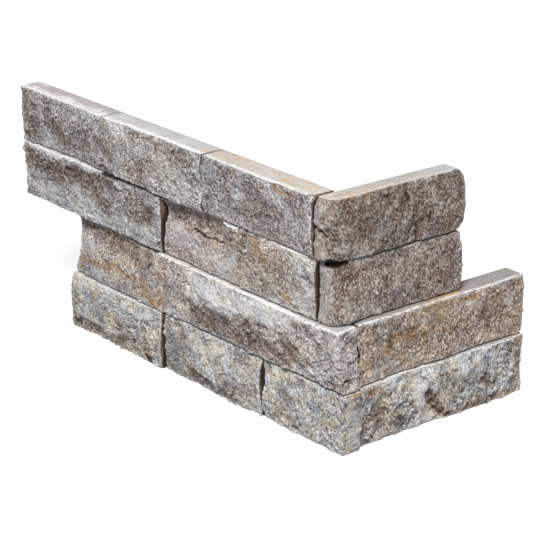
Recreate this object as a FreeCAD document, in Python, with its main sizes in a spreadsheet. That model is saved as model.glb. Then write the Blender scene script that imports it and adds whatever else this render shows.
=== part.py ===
import FreeCAD, Part
import Sketcher
import math
import os
from collections import namedtuple

# Corner piece of stacked stone cladding, in millimetres.
# Strips of stone with sawn beds and backs and a split face are glued into four courses.
# The courses turn the outside corner of a wall, and the strips interlock there.
#
# The origin is the wall's own corner edge, at the bottom of the piece. The long leg runs
# along -X, with its sawn back on the plane y = 0 and its split face towards -Y. The short
# leg runs along +Y, with its sawn back on the plane x = 0 and its split face towards +X.

# Driving dimensions: name, millimetres, what it is
SIZES = [
    ("stone_height", 36.9, "height of a course, from sawn bed to sawn bed"),
    ("bed_joint", 0.8, "resin between two courses"),
    ("head_joint", 0.8, "resin between two stones of a course"),
    ("leg_depth", 17.0, "usual depth from the sawn back to the split face"),
    ("upper_long_reach", 304.0, "long leg of the two upper courses, from the wall's edge"),
    ("lower_long_reach", 245.5, "long leg of the two lower courses, from the wall's edge"),
    ("upper_short_reach", 82.5, "short leg of the two upper courses, from the wall's edge"),
    ("lower_short_reach", 131.0, "short leg of the two lower courses, from the wall's edge"),
    ("upper_corner_reach", 15.2, "end of the upper corner stones, from the wall's edge"),
    ("lower_corner_reach", 22.4, "end of the lower corner stones, from the wall's edge"),
    ("top_left_length", 95.5, "length of the top course's left stone"),
    ("top_middle_length", 105.3, "length of the top course's middle stone"),
    ("second_left_length", 154.8, "length of the second course's left stone"),
    ("second_middle_length", 77.6, "length of the second course's middle stone"),
    ("third_left_length", 125.4, "length of the third course's left stone"),
    ("base_left_length", 97.8, "length of the bottom course's left stone"),
    ("base_middle_length", 96.4, "length of the bottom course's middle stone"),
    ("resin_inset", 1.5, "resin kept back from the sawn backs and the ends"),
    ("resin_width", 8.0, "width of a ribbon of resin"),
    ("facet_size", 5.2, "usual size of one facet of the split face"),
]

# Stone beyond the usual face that the split breaks off
SPLIT_ALLOWANCE = 8.0

# Courses from the bottom up: name, reaches, lengths of the long leg's stones but the last,
# and the leg whose stone runs through the corner
Course = namedtuple("Course", "name level long_reach short_reach corner_reach lengths through")
COURSES = [
    Course("base", 0, "lower_long_reach", "lower_short_reach", "lower_corner_reach",
           ["base_left_length", "base_middle_length"], "long"),
    Course("third", 1, "lower_long_reach", "lower_short_reach", "lower_corner_reach",
           ["third_left_length"], "long"),
    Course("second", 2, "upper_long_reach", "upper_short_reach", "upper_corner_reach",
           ["second_left_length", "second_middle_length"], "short"),
    Course("top", 3, "upper_long_reach", "upper_short_reach", "upper_corner_reach",
           ["top_left_length", "top_middle_length"], "short"),
]

# Names of a course's stones and of the resin on the right of each, from the left end
STONE_NAMES = {
    "base": ["base_left_stone", "base_middle_stone", "base_corner_stone", "base_side_stone"],
    "third": ["third_left_stone", "third_corner_stone", "third_side_stone"],
    "second": ["second_left_stone", "second_middle_stone", "second_right_stone",
               "second_corner_stone"],
    "top": ["top_left_stone", "top_middle_stone", "top_right_stone", "top_corner_stone"],
}
HEAD_RESIN_NAMES = {
    "base": ["base_left_resin", "base_middle_resin", "base_corner_resin"],
    "third": ["third_left_resin", "third_corner_resin"],
    "second": ["second_left_resin", "second_middle_resin", "second_corner_resin"],
    "top": ["top_left_resin", "top_middle_resin", "top_corner_resin"],
}
BED_RESIN_NAMES = ["lower_bed_resin", "middle_bed_resin", "upper_bed_resin"]

# Roughness of every split face: how far the broad waves and the single facets stand out
WAVE_HEIGHT = 0.9
WAVE_LENGTH = 21.0
FACET_HEIGHT = 0.45
FACET_SKEW = 0.26
# How far a tumbled end of a stone is rounded back
WORN_DEPTH = 3.2


# The shape of one split face, in its own frame: along from left to right as seen from
# the front, up from the lower bed, and depth outwards from the sawn back
Split = namedtuple("Split", "proud lean swing crown marks seed")


def split(seed, proud=0.0, lean=0.0, swing=0.0, crown=1.0, marks=()):
    """A split face: its mean depth beyond the usual one, how far the top stands out over the
    bottom and the right over the left, how far it bulges, and its single marks."""
    return Split(proud, lean, swing, crown, marks, seed)


def swelling(along, up, wide, high, amount):
    """A rounded rise on the face, or a hollow where the amount is negative."""
    def height(a, u):
        return amount * math.exp(-((a - along) / wide) ** 2 - ((u - up) / high) ** 2)
    return height


def shelf(up, first, last, amount, blend=0.035):
    """A step along the face: from the height up to the top it rises or falls by an amount."""
    def height(a, u):
        over = soft_step(u, up, blend)
        return amount * over * soft_step(a, first, blend) * soft_step(-a, -last, blend)
    return height


def flake(along, up, run, amount, blend=0.02):
    """A raised flake to the right of a line that is upright and then slants out at its foot."""
    def height(a, u):
        edge = along + run * max(0.0, 1.0 - u / up)
        return amount * soft_step(a, edge, blend)
    return height


def worn_end(at, radius, side):
    """A face that rounds away towards its left end (side -1) or its right end (side 1)."""
    def height(a, u):
        inside = max(0.0, 1.0 - max(0.0, side * (at - a)) / radius)
        return -inside * inside * WORN_DEPTH
    return height


def soft_step(value, edge, blend):
    """0 below the edge and 1 above it, with a smooth change between."""
    return 0.5 * (1.0 + math.tanh((value - edge) / blend))


# Split faces, with places along and up a face as shares of the stone's length and height
FACES = {
    "top_left_stone": split(1, proud=-1.1, lean=2.2, crown=0.9, marks=(
        swelling(0.10, 0.35, 0.10, 0.30, 0.8), swelling(0.55, 0.05, 0.20, 0.25, -1.0))),
    "top_middle_stone": split(2, proud=0.3, lean=0.9, crown=0.9, marks=(
        swelling(0.08, 0.95, 0.08, 0.25, 1.6), swelling(0.62, 0.95, 0.16, 0.28, -0.9),
        swelling(0.72, 0.55, 0.16, 0.25, 0.8))),
    "top_right_stone": split(3, proud=-0.4, lean=2.8, crown=1.0, marks=(
        swelling(0.30, 0.45, 0.10, 0.22, 0.9), swelling(0.46, 0.95, 0.14, 0.30, 0.7))),
    "top_corner_stone": split(4, proud=-2.5, lean=-0.4, crown=1.5, marks=(
        worn_end(0.0, 0.09, -1), swelling(0.97, 0.50, 0.16, 0.34, 1.5),
        swelling(1.0, 0.0, 0.05, 0.16, -3.0), swelling(1.0, 1.0, 0.05, 0.16, -2.6),
        swelling(0.45, 0.75, 0.06, 0.20, -0.7), swelling(0.62, 0.12, 0.05, 0.25, -0.8))),
    "second_left_stone": split(5, proud=-0.8, lean=2.6, swing=0.7, crown=0.8, marks=(
        swelling(0.02, 0.45, 0.05, 0.20, -0.9), swelling(0.30, 0.72, 0.20, 0.16, 0.8),
        swelling(0.95, 0.75, 0.10, 0.40, 0.8))),
    "second_middle_stone": split(6, proud=-2.4, lean=0.5, crown=0.6, marks=(
        shelf(0.62, -0.10, 0.78, -3.6), swelling(0.90, 0.95, 0.10, 0.40, 2.6),
        swelling(0.70, 0.30, 0.22, 0.24, 1.0))),
    "second_right_stone": split(7, proud=-0.4, lean=2.2, crown=1.0, marks=(
        swelling(0.12, 0.85, 0.10, 0.22, -0.9), swelling(0.75, 0.55, 0.20, 0.30, 0.7))),
    "second_corner_stone": split(8, proud=-3.0, lean=0.8, crown=1.3, marks=(
        worn_end(0.0, 0.09, -1), swelling(1.0, 1.0, 0.05, 0.16, -2.4),
        swelling(0.35, 0.45, 0.2, 0.3, 0.6))),
    "third_left_stone": split(9, proud=-0.6, lean=-1.4, swing=1.2, crown=0.5, marks=(
        swelling(0.0, 0.60, 0.07, 0.26, -3.2), swelling(0.30, 0.98, 0.34, 0.30, -1.8),
        swelling(0.92, 0.80, 0.20, 0.30, 0.9))),
    "third_corner_stone": split(10, proud=-0.3, lean=2.2, crown=0.8, marks=(
        swelling(0.22, 0.58, 0.26, 0.20, 3.0), swelling(0.38, 0.12, 0.26, 0.22, -1.0),
        swelling(0.60, 0.80, 0.16, 0.26, 1.2), swelling(0.80, 0.98, 0.10, 0.20, 1.4))),
    "third_side_stone": split(11, proud=0.7, lean=1.0, swing=-1.6, crown=0.8, marks=(
        swelling(0.20, 0.50, 0.10, 0.25, -0.8), swelling(0.60, 0.60, 0.15, 0.3, 0.7))),
    "base_left_stone": split(12, proud=2.2, lean=-0.4, crown=1.2, marks=(
        swelling(0.02, 0.35, 0.10, 0.40, 1.0), swelling(0.35, 0.05, 0.15, 0.20, -1.2),
        swelling(0.62, 0.62, 0.22, 0.25, 0.9))),
    "base_middle_stone": split(13, proud=-0.3, lean=-0.6, crown=1.3, marks=(
        swelling(0.12, 0.55, 0.10, 0.30, -0.8), swelling(0.55, 0.60, 0.26, 0.26, 0.9),
        swelling(0.98, 0.55, 0.05, 0.40, 1.6), swelling(0.55, 0.04, 0.20, 0.16, -0.8))),
    "base_corner_stone": split(14, proud=-2.3, lean=0.1, crown=1.4, marks=(
        swelling(0.30, 0.65, 0.16, 0.25, 0.8), swelling(0.55, 0.20, 0.18, 0.25, 0.7))),
    "base_side_stone": split(15, proud=1.0, lean=0.6, swing=-0.8, crown=0.8, marks=(
        flake(0.41, 0.46, 0.12, 2.2), swelling(0.12, 0.60, 0.07, 0.26, -1.1),
        swelling(0.62, 0.62, 0.12, 0.30, 1.2), swelling(0.50, 0.10, 0.08, 0.20, -1.2),
        swelling(0.28, 0.45, 0.08, 0.40, 0.9), swelling(1.02, 0.40, 0.09, 0.60, -2.6))),
}

# Split ends of the four stones that run through the corner, measured from their own reach
ENDS = {
    "top_corner_stone": split(21, lean=-1.2, crown=0.6, marks=(
        worn_end(1.0, 0.40, 1), swelling(0.30, 0.0, 0.50, 0.12, 0.8))),
    "second_corner_stone": split(22, proud=-1.4, lean=0.1, crown=0.7, marks=(
        worn_end(1.0, 0.40, 1),)),
    "third_corner_stone": split(23, proud=-1.2, lean=-3.0, swing=-2.2, crown=-0.5),
    "base_corner_stone": split(24, proud=0.4, lean=1.2, swing=-1.4, crown=0.3),
}


def alias(name):
    """The spreadsheet cell of that name, in an expression."""
    return "<<sizes>>." + name


def make_sheet(doc):
    """The spreadsheet of driving dimensions."""
    sheet = doc.addObject("Spreadsheet::Sheet", "Sizes")
    sheet.Label = "sizes"
    for row, (name, value, note) in enumerate(SIZES, start=1):
        sheet.set("A%d" % row, name)
        sheet.set("B%d" % row, str(value))
        sheet.set("C%d" % row, note)
        sheet.setAlias("B%d" % row, name)
    doc.recompute()
    return sheet


def bind_box(doc, name, corner, size):
    """A box whose low corner and sizes along X, Y and Z are expressions."""
    box = doc.addObject("Part::Box", name)
    for axis, expression in zip("xyz", corner):
        box.setExpression("Placement.Base." + axis, expression)
    for side, expression in zip(("Length", "Width", "Height"), size):
        box.setExpression(side, expression)
    return box


def bed_height(course):
    """Height of a course's lower bed over the bottom of the piece."""
    return "%d * (%s + %s)" % (course.level, alias("stone_height"), alias("bed_joint"))


def long_starts(course):
    """Where the long leg's stones start along X, and where the last one would end."""
    start = "-" + alias(course.long_reach)
    starts = [start]
    for length in course.lengths:
        start = "%s + %s + %s" % (start, alias(length), alias("head_joint"))
        starts.append(start)
    return starts


def sawn_strips(doc, course):
    """The course's stones before they are split: plain sawn strips, from the left end."""
    names = STONE_NAMES[course.name]
    strip_depth = "%s + %s" % (alias("leg_depth"), SPLIT_ALLOWANCE)
    past_corner = "%s + %s" % (alias(course.corner_reach), SPLIT_ALLOWANCE)
    bed = bed_height(course)
    starts = long_starts(course)
    strips = []
    for index, start in enumerate(starts):
        last = index == len(starts) - 1
        if not last:
            length = alias(course.lengths[index])
        elif course.through == "long":
            length = "%s - (%s)" % (past_corner, start)
        else:
            length = "-%s - (%s)" % (alias("head_joint"), start)
        corner = (start, "-(%s)" % strip_depth, bed)
        size = (length, strip_depth, alias("stone_height"))
        strips.append(bind_box(doc, names[index] + "_strip", corner, size))
    reach = alias(course.short_reach)
    if course.through == "long":
        corner = ("0", alias("head_joint"), bed)
        size = (strip_depth, "%s - %s" % (reach, alias("head_joint")), alias("stone_height"))
    else:
        corner = ("0", "-(%s)" % past_corner, bed)
        size = (strip_depth, "%s + %s" % (reach, past_corner), alias("stone_height"))
    strips.append(bind_box(doc, names[-1] + "_strip", corner, size))
    return strips


def grain(seed, column, row, layer):
    """A fixed number between -1 and 1 for each place of a face."""
    value = math.sin(seed * 12.9898 + column * 78.233 + row * 37.719 + layer * 9.151) * 43758.5453
    return 2.0 * (value - math.floor(value)) - 1.0


def waves(seed, along, up):
    """Broad waves of a split face: grain on a wide lattice, smoothly joined."""
    x = along / WAVE_LENGTH
    y = up / WAVE_LENGTH * 1.6
    column = math.floor(x)
    row = math.floor(y)
    fx = x - column
    fy = y - row
    fx = fx * fx * (3.0 - 2.0 * fx)
    fy = fy * fy * (3.0 - 2.0 * fy)
    low = grain(seed, column, row, 1) * (1.0 - fx) + grain(seed, column + 1, row, 1) * fx
    high = grain(seed, column, row + 1, 1) * (1.0 - fx) + grain(seed, column + 1, row + 1, 1) * fx
    return low * (1.0 - fy) + high * fy


def face_depth(face, base_depth, length, height, along, up):
    """Depth of a split face at one place, without its single facets."""
    a = along / length
    u = up / height
    depth = base_depth + face.proud
    depth += face.lean * (u - 0.5) + face.swing * (a - 0.5)
    depth += face.crown * (1.0 - (2.0 * u - 1.0) ** 2) - 0.5 * face.crown
    depth += WAVE_HEIGHT * waves(face.seed, along, up)
    for mark in face.marks:
        depth += mark(a, u)
    return depth


def facet_lattice(face, base_depth, length, height, facet):
    """Corners of the facets, a little beyond the stone on every side."""
    columns = max(2, round(length / facet))
    rows = max(2, round(height / facet))
    lattice = []
    for i in range(-1, columns + 3):
        line = []
        for j in range(0, rows + 2):
            along = (i - 0.5) * length / columns
            up = (j - 0.5) * height / rows
            if -1 < i < columns + 2:
                along += FACET_SKEW * facet * grain(face.seed, i, j, 2)
            if 0 < j < rows + 1:
                up += FACET_SKEW * facet * grain(face.seed, i, j, 3)
            depth = face_depth(face, base_depth, length, height, along, up)
            depth += FACET_HEIGHT * grain(face.seed, i, j, 4)
            line.append(FreeCAD.Vector(along, up, depth))
        lattice.append(line)
    return lattice


def polygon(points):
    """A flat face inside a closed outline."""
    return Part.Face(Part.makePolygon(points + points[:1]))


def broken_away(face, base_depth, length, height, facet, far):
    """The stone that the split breaks off: all that lies in front of the facets."""
    lattice = facet_lattice(face, base_depth, length, height, facet)
    faces = []
    for i in range(len(lattice) - 1):
        for j in range(len(lattice[i]) - 1):
            a, b = lattice[i][j], lattice[i + 1][j]
            c, d = lattice[i + 1][j + 1], lattice[i][j + 1]
            if (a - c).Length < (b - d).Length:
                faces += [polygon([a, b, c]), polygon([a, c, d])]
            else:
                faces += [polygon([a, b, d]), polygon([b, c, d])]
    left = lattice[0]
    right = lattice[-1]
    foot = [line[0] for line in lattice]
    head = [line[-1] for line in lattice]
    for edge in (left, right, foot, head):
        start = FreeCAD.Vector(edge[0].x, edge[0].y, far)
        finish = FreeCAD.Vector(edge[-1].x, edge[-1].y, far)
        faces.append(polygon(edge + [finish, start]))
    outer = [FreeCAD.Vector(p.x, p.y, far) for p in (left[0], right[0], right[-1], left[-1])]
    faces.append(polygon(outer))
    shell = Part.Shell(faces)
    shell.sewShape()
    solid = Part.Solid(shell)
    if solid.Volume < 0:
        solid.reverse()
    return solid


# From a face's own frame (along, up, outwards) to the piece's frame
LONG_FACING = FreeCAD.Rotation(FreeCAD.Vector(1, 0, 0), FreeCAD.Vector(0, 0, 1),
                               FreeCAD.Vector(0, -1, 0), "XYZ")
SHORT_FACING = FreeCAD.Rotation(FreeCAD.Vector(0, 1, 0), FreeCAD.Vector(0, 0, 1),
                                FreeCAD.Vector(1, 0, 0), "XYZ")


def split_off(doc, stone, name, face, base_depth, start, length, facing, sheet):
    """Cut the stone back to one split face, and give the cut stone."""
    height = sheet.stone_height
    bed = stone.Shape.BoundBox.ZMin
    far = base_depth + 2 * SPLIT_ALLOWANCE
    waste = doc.addObject("Part::Feature", name + "_waste")
    waste.Shape = broken_away(face, base_depth, length, height, sheet.facet_size, far)
    if facing is LONG_FACING:
        corner = FreeCAD.Vector(start, 0, bed)
    else:
        corner = FreeCAD.Vector(0, start, bed)
    waste.Placement = FreeCAD.Placement(corner, facing)
    cut = doc.addObject("Part::Cut", name)
    cut.Base = stone
    cut.Tool = waste
    doc.recompute()
    return cut


def split_stones(doc, course, strips, sheet):
    """The course's finished stones."""
    names = STONE_NAMES[course.name]
    corner_reach = getattr(sheet, course.corner_reach)
    stones = []
    for name, strip in zip(names, strips):
        box = strip.Shape.BoundBox
        through = name.endswith("corner_stone")
        on_long_leg = strip is not strips[-1]
        if on_long_leg:
            start = box.XMin
            finish = corner_reach if through else box.XMax
            facing, end_facing = LONG_FACING, SHORT_FACING
        else:
            start = -corner_reach if through else box.YMin
            finish = box.YMax
            facing, end_facing = SHORT_FACING, LONG_FACING
        face_name = name + "_face" if through else name
        stone = split_off(doc, strip, face_name, FACES[name], sheet.leg_depth, start,
                          finish - start, facing, sheet)
        if through:
            end_start = -sheet.leg_depth if on_long_leg else 0.0
            stone = split_off(doc, stone, name, ENDS[name], corner_reach, end_start,
                              sheet.leg_depth, end_facing, sheet)
        stone.Label = name
        stones.append(stone)
    return stones


def head_resins(doc, course):
    """Ribbons of resin in the upright joints of a course, from the left end."""
    names = HEAD_RESIN_NAMES[course.name]
    inset = alias("resin_inset")
    bottom = "%s + %s" % (bed_height(course), inset)
    tall = "%s - 2 * %s" % (alias("stone_height"), inset)
    joint = alias("head_joint")
    width = alias("resin_width")
    resins = []
    for name, start in zip(names, long_starts(course)[1:]):
        corner = ("%s - %s" % (start, joint), "-%s - %s" % (inset, width), bottom)
        resins.append(bind_box(doc, name, corner, (joint, width, tall)))
    if course.through == "long":
        corner = (inset, "0", bottom)
        size = (width, joint, tall)
    else:
        corner = ("-" + joint, "-%s - %s" % (inset, width), bottom)
        size = (joint, width, tall)
    resins.append(bind_box(doc, names[-1], corner, size))
    for resin in resins:
        resin.Label = resin.Name
    return resins


def origin_plane(body, role):
    """One of a body's own origin planes."""
    return next(plane for plane in body.Origin.OriginFeatures if plane.Role == role)


def bed_resin(doc, name, lower, upper, sheet):
    """A bent ribbon of resin between two courses, over the stretch that both of them cover."""
    body = doc.addObject("PartDesign::Body", name)
    body.Label = name
    sketch = body.newObject("Sketcher::SketchObject", name + "_outline")
    sketch.AttachmentSupport = [(origin_plane(body, "XY_Plane"), "")]
    sketch.MapMode = "FlatFace"
    inner = sheet.resin_inset
    outer = inner + sheet.resin_width
    left = min(getattr(sheet, lower.long_reach), getattr(sheet, upper.long_reach)) - inner
    far = min(getattr(sheet, lower.short_reach), getattr(sheet, upper.short_reach)) - inner
    inner_rule = alias("resin_inset")
    outer_rule = "%s + %s" % (inner_rule, alias("resin_width"))
    left_rule = "min(%s; %s) - %s" % (alias(lower.long_reach), alias(upper.long_reach), inner_rule)
    far_rule = "min(%s; %s) - %s" % (alias(lower.short_reach), alias(upper.short_reach), inner_rule)
    # Outline from the left end, along the back, round the corner and home along the front
    corners = [(-left, -inner), (inner, -inner), (inner, far), (outer, far), (outer, -outer),
               (-left, -outer)]
    count = len(corners)
    points = [FreeCAD.Vector(x, y, 0) for x, y in corners]
    for index in range(count):
        line = Part.LineSegment(points[index], points[(index + 1) % count])
        sketch.addGeometry(line, False)
    for index in range(count):
        sketch.addConstraint(Sketcher.Constraint("Coincident", index, 2, (index + 1) % count, 1))
        straight = "Horizontal" if index % 2 == 0 else "Vertical"
        sketch.addConstraint(Sketcher.Constraint(straight, index))
    # Distances of the outline's corners from the wall's edge
    wall_edge = (-1, 1)
    reaches = [
        ("left_end", "DistanceX", (0, 1), wall_edge, left, left_rule),
        ("long_back", "DistanceY", (0, 1), wall_edge, inner, inner_rule),
        ("long_front", "DistanceY", (5, 1), wall_edge, outer, outer_rule),
        ("short_back", "DistanceX", wall_edge, (1, 1), inner, inner_rule),
        ("short_front", "DistanceX", wall_edge, (3, 1), outer, outer_rule),
        ("far_end", "DistanceY", wall_edge, (3, 1), far, far_rule),
    ]
    for label, kind, start, finish, value, rule in reaches:
        number = sketch.addConstraint(Sketcher.Constraint(kind, *start, *finish, value))
        sketch.renameConstraint(number, label)
        sketch.setExpression("Constraints." + label, rule)
    pad = body.newObject("PartDesign::Pad", name + "_ribbon")
    pad.Profile = sketch
    pad.setExpression("Length", alias("bed_joint"))
    top_of_lower = "%s + %s" % (bed_height(lower), alias("stone_height"))
    body.setExpression("Placement.Base.z", top_of_lower)
    return body


def check(doc, parts):
    """Stop if an object failed to build or a part is not one sound solid."""
    for item in doc.Objects:
        if "Invalid" in item.State or "Error" in item.State:
            raise RuntimeError("%s did not build: %s" % (item.Label, item.State))
    for item in parts:
        shape = item.Shape
        if shape.isNull() or not shape.isValid() or len(shape.Solids) != 1:
            raise RuntimeError("%s is not one valid solid" % item.Label)
        if shape.Volume <= 0:
            raise RuntimeError("%s has no volume" % item.Label)


def main():
    """Build the corner piece and write each piece to its own file."""
    doc = FreeCAD.newDocument("stone_corner")
    sheet = make_sheet(doc)
    strips = {course.name: sawn_strips(doc, course) for course in COURSES}
    parts = []
    for course in COURSES:
        parts += head_resins(doc, course)
    for name, lower, upper in zip(BED_RESIN_NAMES, COURSES[:-1], COURSES[1:]):
        parts.append(bed_resin(doc, name, lower, upper, sheet))
    doc.recompute()
    for course in COURSES:
        parts += split_stones(doc, course, strips[course.name], sheet)
    doc.recompute()
    check(doc, parts)
    os.makedirs("parts", exist_ok=True)
    for item in parts:
        item.Shape.exportStep("parts/%s.step" % item.Label)
    print("%d pieces, %d facets" % (len(parts), sum(len(item.Shape.Faces) for item in parts)))


main()
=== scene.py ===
import math
from collections import namedtuple

import bpy
import numpy as np
from mathutils import Matrix, Vector


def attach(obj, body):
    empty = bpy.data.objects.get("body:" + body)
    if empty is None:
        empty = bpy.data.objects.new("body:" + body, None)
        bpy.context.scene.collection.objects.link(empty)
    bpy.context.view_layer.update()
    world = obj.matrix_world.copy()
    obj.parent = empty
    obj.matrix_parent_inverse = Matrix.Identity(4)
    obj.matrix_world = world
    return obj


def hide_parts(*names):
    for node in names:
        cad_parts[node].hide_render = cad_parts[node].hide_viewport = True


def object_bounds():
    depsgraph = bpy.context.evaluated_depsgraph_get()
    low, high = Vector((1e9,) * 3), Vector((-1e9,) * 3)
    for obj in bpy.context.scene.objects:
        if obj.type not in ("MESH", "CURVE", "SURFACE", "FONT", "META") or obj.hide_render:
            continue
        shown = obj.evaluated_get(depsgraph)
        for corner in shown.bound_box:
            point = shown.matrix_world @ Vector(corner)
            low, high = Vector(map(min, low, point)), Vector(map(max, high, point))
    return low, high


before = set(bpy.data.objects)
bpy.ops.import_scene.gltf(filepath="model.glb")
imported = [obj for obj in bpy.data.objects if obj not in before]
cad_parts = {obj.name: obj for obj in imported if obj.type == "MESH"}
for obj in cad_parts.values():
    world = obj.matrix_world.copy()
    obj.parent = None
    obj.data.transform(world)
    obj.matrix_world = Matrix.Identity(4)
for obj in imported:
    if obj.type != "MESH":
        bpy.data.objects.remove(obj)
cad_low, cad_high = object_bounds()

# Looks of a corner piece of stacked stone cladding.
# Each CAD stone is replaced by a finer one. Its sawn planes and the relief of its split face are
# read from the CAD facets, broken texture and chipped edges are added to them as a distance
# field, and the field is turned into a closed mesh. Lengths are in millimetres, apart from the
# studio and the camera.
#
# A stone is worked on in its own axes: u runs along its leg towards the wall's corner and on to
# the piece's outer corner, d is the depth outwards from its sawn back, and z is up.
MM = 0.001
FAR = 1000.0

# Grid of the distance field: steps at the surface and in the solid stone behind it, how far
# behind the shallowest place of the face the wide steps end, and lines outside the stone
STEP = 0.66
BACK_STEP = 3.4
FINE_DEPTH = 4.0
MARGIN_LINES = 4

# Reliefs read from the facets: grid step, and how far they go on past the facets
RELIEF_STEP = 0.5
RELIEF_PAD = 9.0

# Split facets lean off all three axes. Those of a split end face along the leg; fewer of them
# than END_FACETS, or any within END_START of the other end, make no split end.
FLAT = 0.9999
END_START = 12
END_FACETS = 8

# Turns the height over a relief into the distance from it, as the faces lean a little
SLOPE = 0.94

# Texture is worked out within BAND of the surface
BAND = 3.2

# Lean of the broken texture inwards, so that its peaks stay inside the CAD part's box, and what
# is kept clear of the box itself
INWARD = 0.08
CLEAR = 0.03

# Broken grain: height, size of the facets or swells, and offset of the seed
BROKEN_GRAIN = ((0.55, 9.0, 10), (0.52, 4.2, 20), (0.40, 2.2, 30))
SMOOTH_GRAIN = (0.24, 1.35, 36)

# Breaks along the arris: their depth, how rare they are, their reach, the depth of the fine
# nibbling between them, and how far off the sawn back they begin
BREAK_DEPTH = 1.5
BREAK_RARE = 0.60
BREAK_REACH = 1.6
NIBBLE = 0.16
BACK_EDGE = 5

# Random shifts as (height, size) of a broad and a fine swell
RELIEF_WANDER = ((1.3, 6.0), (0.6, 2.6))
MARK_WANDER = ((1.6, 5.0), (0.9, 2.0))

# Stones: material slot, tones and how the stone is broken
#   light, dark, warm  tones of the split face, linear colours
#   sawn               tone of the sawn planes; darker on second_right, third_side and base_side, as
#                      painted shade on their ledges under the course above
#   fleck              share of small rust flecks
#   rough              height of the broken texture, against the usual one
#   streak             how far the grain is drawn out upwards
#   worn               rounding of the arris between the split face and the sawn planes
#   corner_worn        rounding of the piece's outer corner
#   far_worn           rounding of the leg's far end
Stone = namedtuple("Stone", "slot light dark warm sawn fleck rough streak worn corner_worn far_worn",
                   defaults=(1.0, 1.0, 0.8, 0, 0))
STONES = {
    "top_left_stone": Stone("stone_grey", light=(0.58, 0.58, 0.60), dark=(0.17, 0.125, 0.09),
        warm=(0.47, 0.41, 0.37), sawn=(0.52, 0.48, 0.48), fleck=0.1),
    "top_middle_stone": Stone("stone_beige", light=(0.74, 0.74, 0.745), dark=(0.25, 0.17, 0.125),
        warm=(0.64, 0.56, 0.49), sawn=(0.57, 0.59, 0.60), fleck=0.25),
    "top_right_stone": Stone("stone_grey", light=(0.66, 0.66, 0.70), dark=(0.22, 0.16, 0.12),
        warm=(0.56, 0.50, 0.46), sawn=(0.62, 0.59, 0.56), fleck=0.2),
    "top_corner_stone": Stone("stone_brown", light=(0.345, 0.30, 0.27), dark=(0.11, 0.08, 0.05),
        warm=(0.31, 0.245, 0.20), sawn=(0.54, 0.52, 0.51), fleck=0.15, streak=1.25, worn=0.6,
        corner_worn=2.4, far_worn=6.0),
    "second_left_stone": Stone("stone_grey", light=(0.63, 0.645, 0.675), dark=(0.18, 0.12, 0.08),
        warm=(0.51, 0.455, 0.39), sawn=(0.37, 0.37, 0.36), fleck=0.1, rough=1.1),
    "second_middle_stone": Stone("stone_beige", light=(0.705, 0.65, 0.63), dark=(0.22, 0.15, 0.11),
        warm=(0.61, 0.51, 0.44), sawn=(0.50, 0.48, 0.47), fleck=0.15, rough=0.9),
    "second_right_stone": Stone("stone_beige", light=(0.84, 0.83, 0.82), dark=(0.31, 0.22, 0.15),
        warm=(0.72, 0.62, 0.51), sawn=(0.24, 0.23, 0.22), fleck=0.3),
    "second_corner_stone": Stone("stone_brown", light=(0.44, 0.39, 0.36), dark=(0.16, 0.11, 0.075),
        warm=(0.39, 0.31, 0.275), sawn=(0.49, 0.47, 0.45), fleck=0.1, rough=0.9, streak=1.3, worn=0.6,
        corner_worn=4.0, far_worn=4.0),
    "third_left_stone": Stone("stone_rust", light=(0.81, 0.79, 0.78), dark=(0.28, 0.20, 0.145),
        warm=(0.74, 0.62, 0.51), sawn=(0.57, 0.55, 0.52), fleck=0.4, rough=0.9),
    "third_corner_stone": Stone("stone_grey", light=(0.97, 0.94, 0.925), dark=(0.25, 0.155, 0.115),
        warm=(0.91, 0.78, 0.71), sawn=(0.50, 0.50, 0.49), fleck=0.15, rough=1.2, corner_worn=2.5),
    "third_side_stone": Stone("stone_rust", light=(0.72, 0.63, 0.57), dark=(0.29, 0.19, 0.125),
        warm=(0.64, 0.50, 0.385), sawn=(0.33, 0.32, 0.32), fleck=0.4, rough=0.9, streak=1.2),
    "base_left_stone": Stone("stone_blue", light=(0.97, 0.97, 0.97), dark=(0.29, 0.24, 0.18),
        warm=(0.80, 0.78, 0.73), sawn=(0.34, 0.35, 0.34), fleck=0.45, rough=1.1),
    "base_middle_stone": Stone("stone_blue", light=(0.95, 0.97, 0.97), dark=(0.30, 0.24, 0.19),
        warm=(0.86, 0.81, 0.76), sawn=(0.47, 0.48, 0.47), fleck=0.5, rough=1.1),
    "base_corner_stone": Stone("stone_blue", light=(0.97, 0.97, 0.97), dark=(0.49, 0.44, 0.385),
        warm=(0.97, 0.95, 0.91), sawn=(0.52, 0.52, 0.51), fleck=0.55, rough=1.1, corner_worn=1.5),
    "base_side_stone": Stone("stone_blue", light=(0.97, 0.97, 0.97), dark=(0.34, 0.26, 0.20),
        warm=(0.97, 0.93, 0.86), sawn=(0.34, 0.34, 0.33), fleck=0.5, rough=1.2, streak=1.15),
}

# Head joints so tight that the two stones look like one: left stone, right stone. Both reach
# into the joint by TIGHT, and within BLEND of it their faces run into each other.
TIGHT = 0.37
BLEND = 12.0
TIGHT_JOINTS = (
    ("top_left_stone", "top_middle_stone"),
    ("top_middle_stone", "top_right_stone"),
    ("second_middle_stone", "second_right_stone"),
    ("third_left_stone", "third_corner_stone"),
)

# Open head joints: the left stone's end shows beside the right stone
OPEN_JOINTS = (
    ("top_right_stone", "top_corner_stone"),
    ("second_left_stone", "second_middle_stone"),
    ("second_right_stone", "second_corner_stone"),
    ("base_left_stone", "base_middle_stone"),
    ("base_middle_stone", "base_corner_stone"),
)
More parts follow.
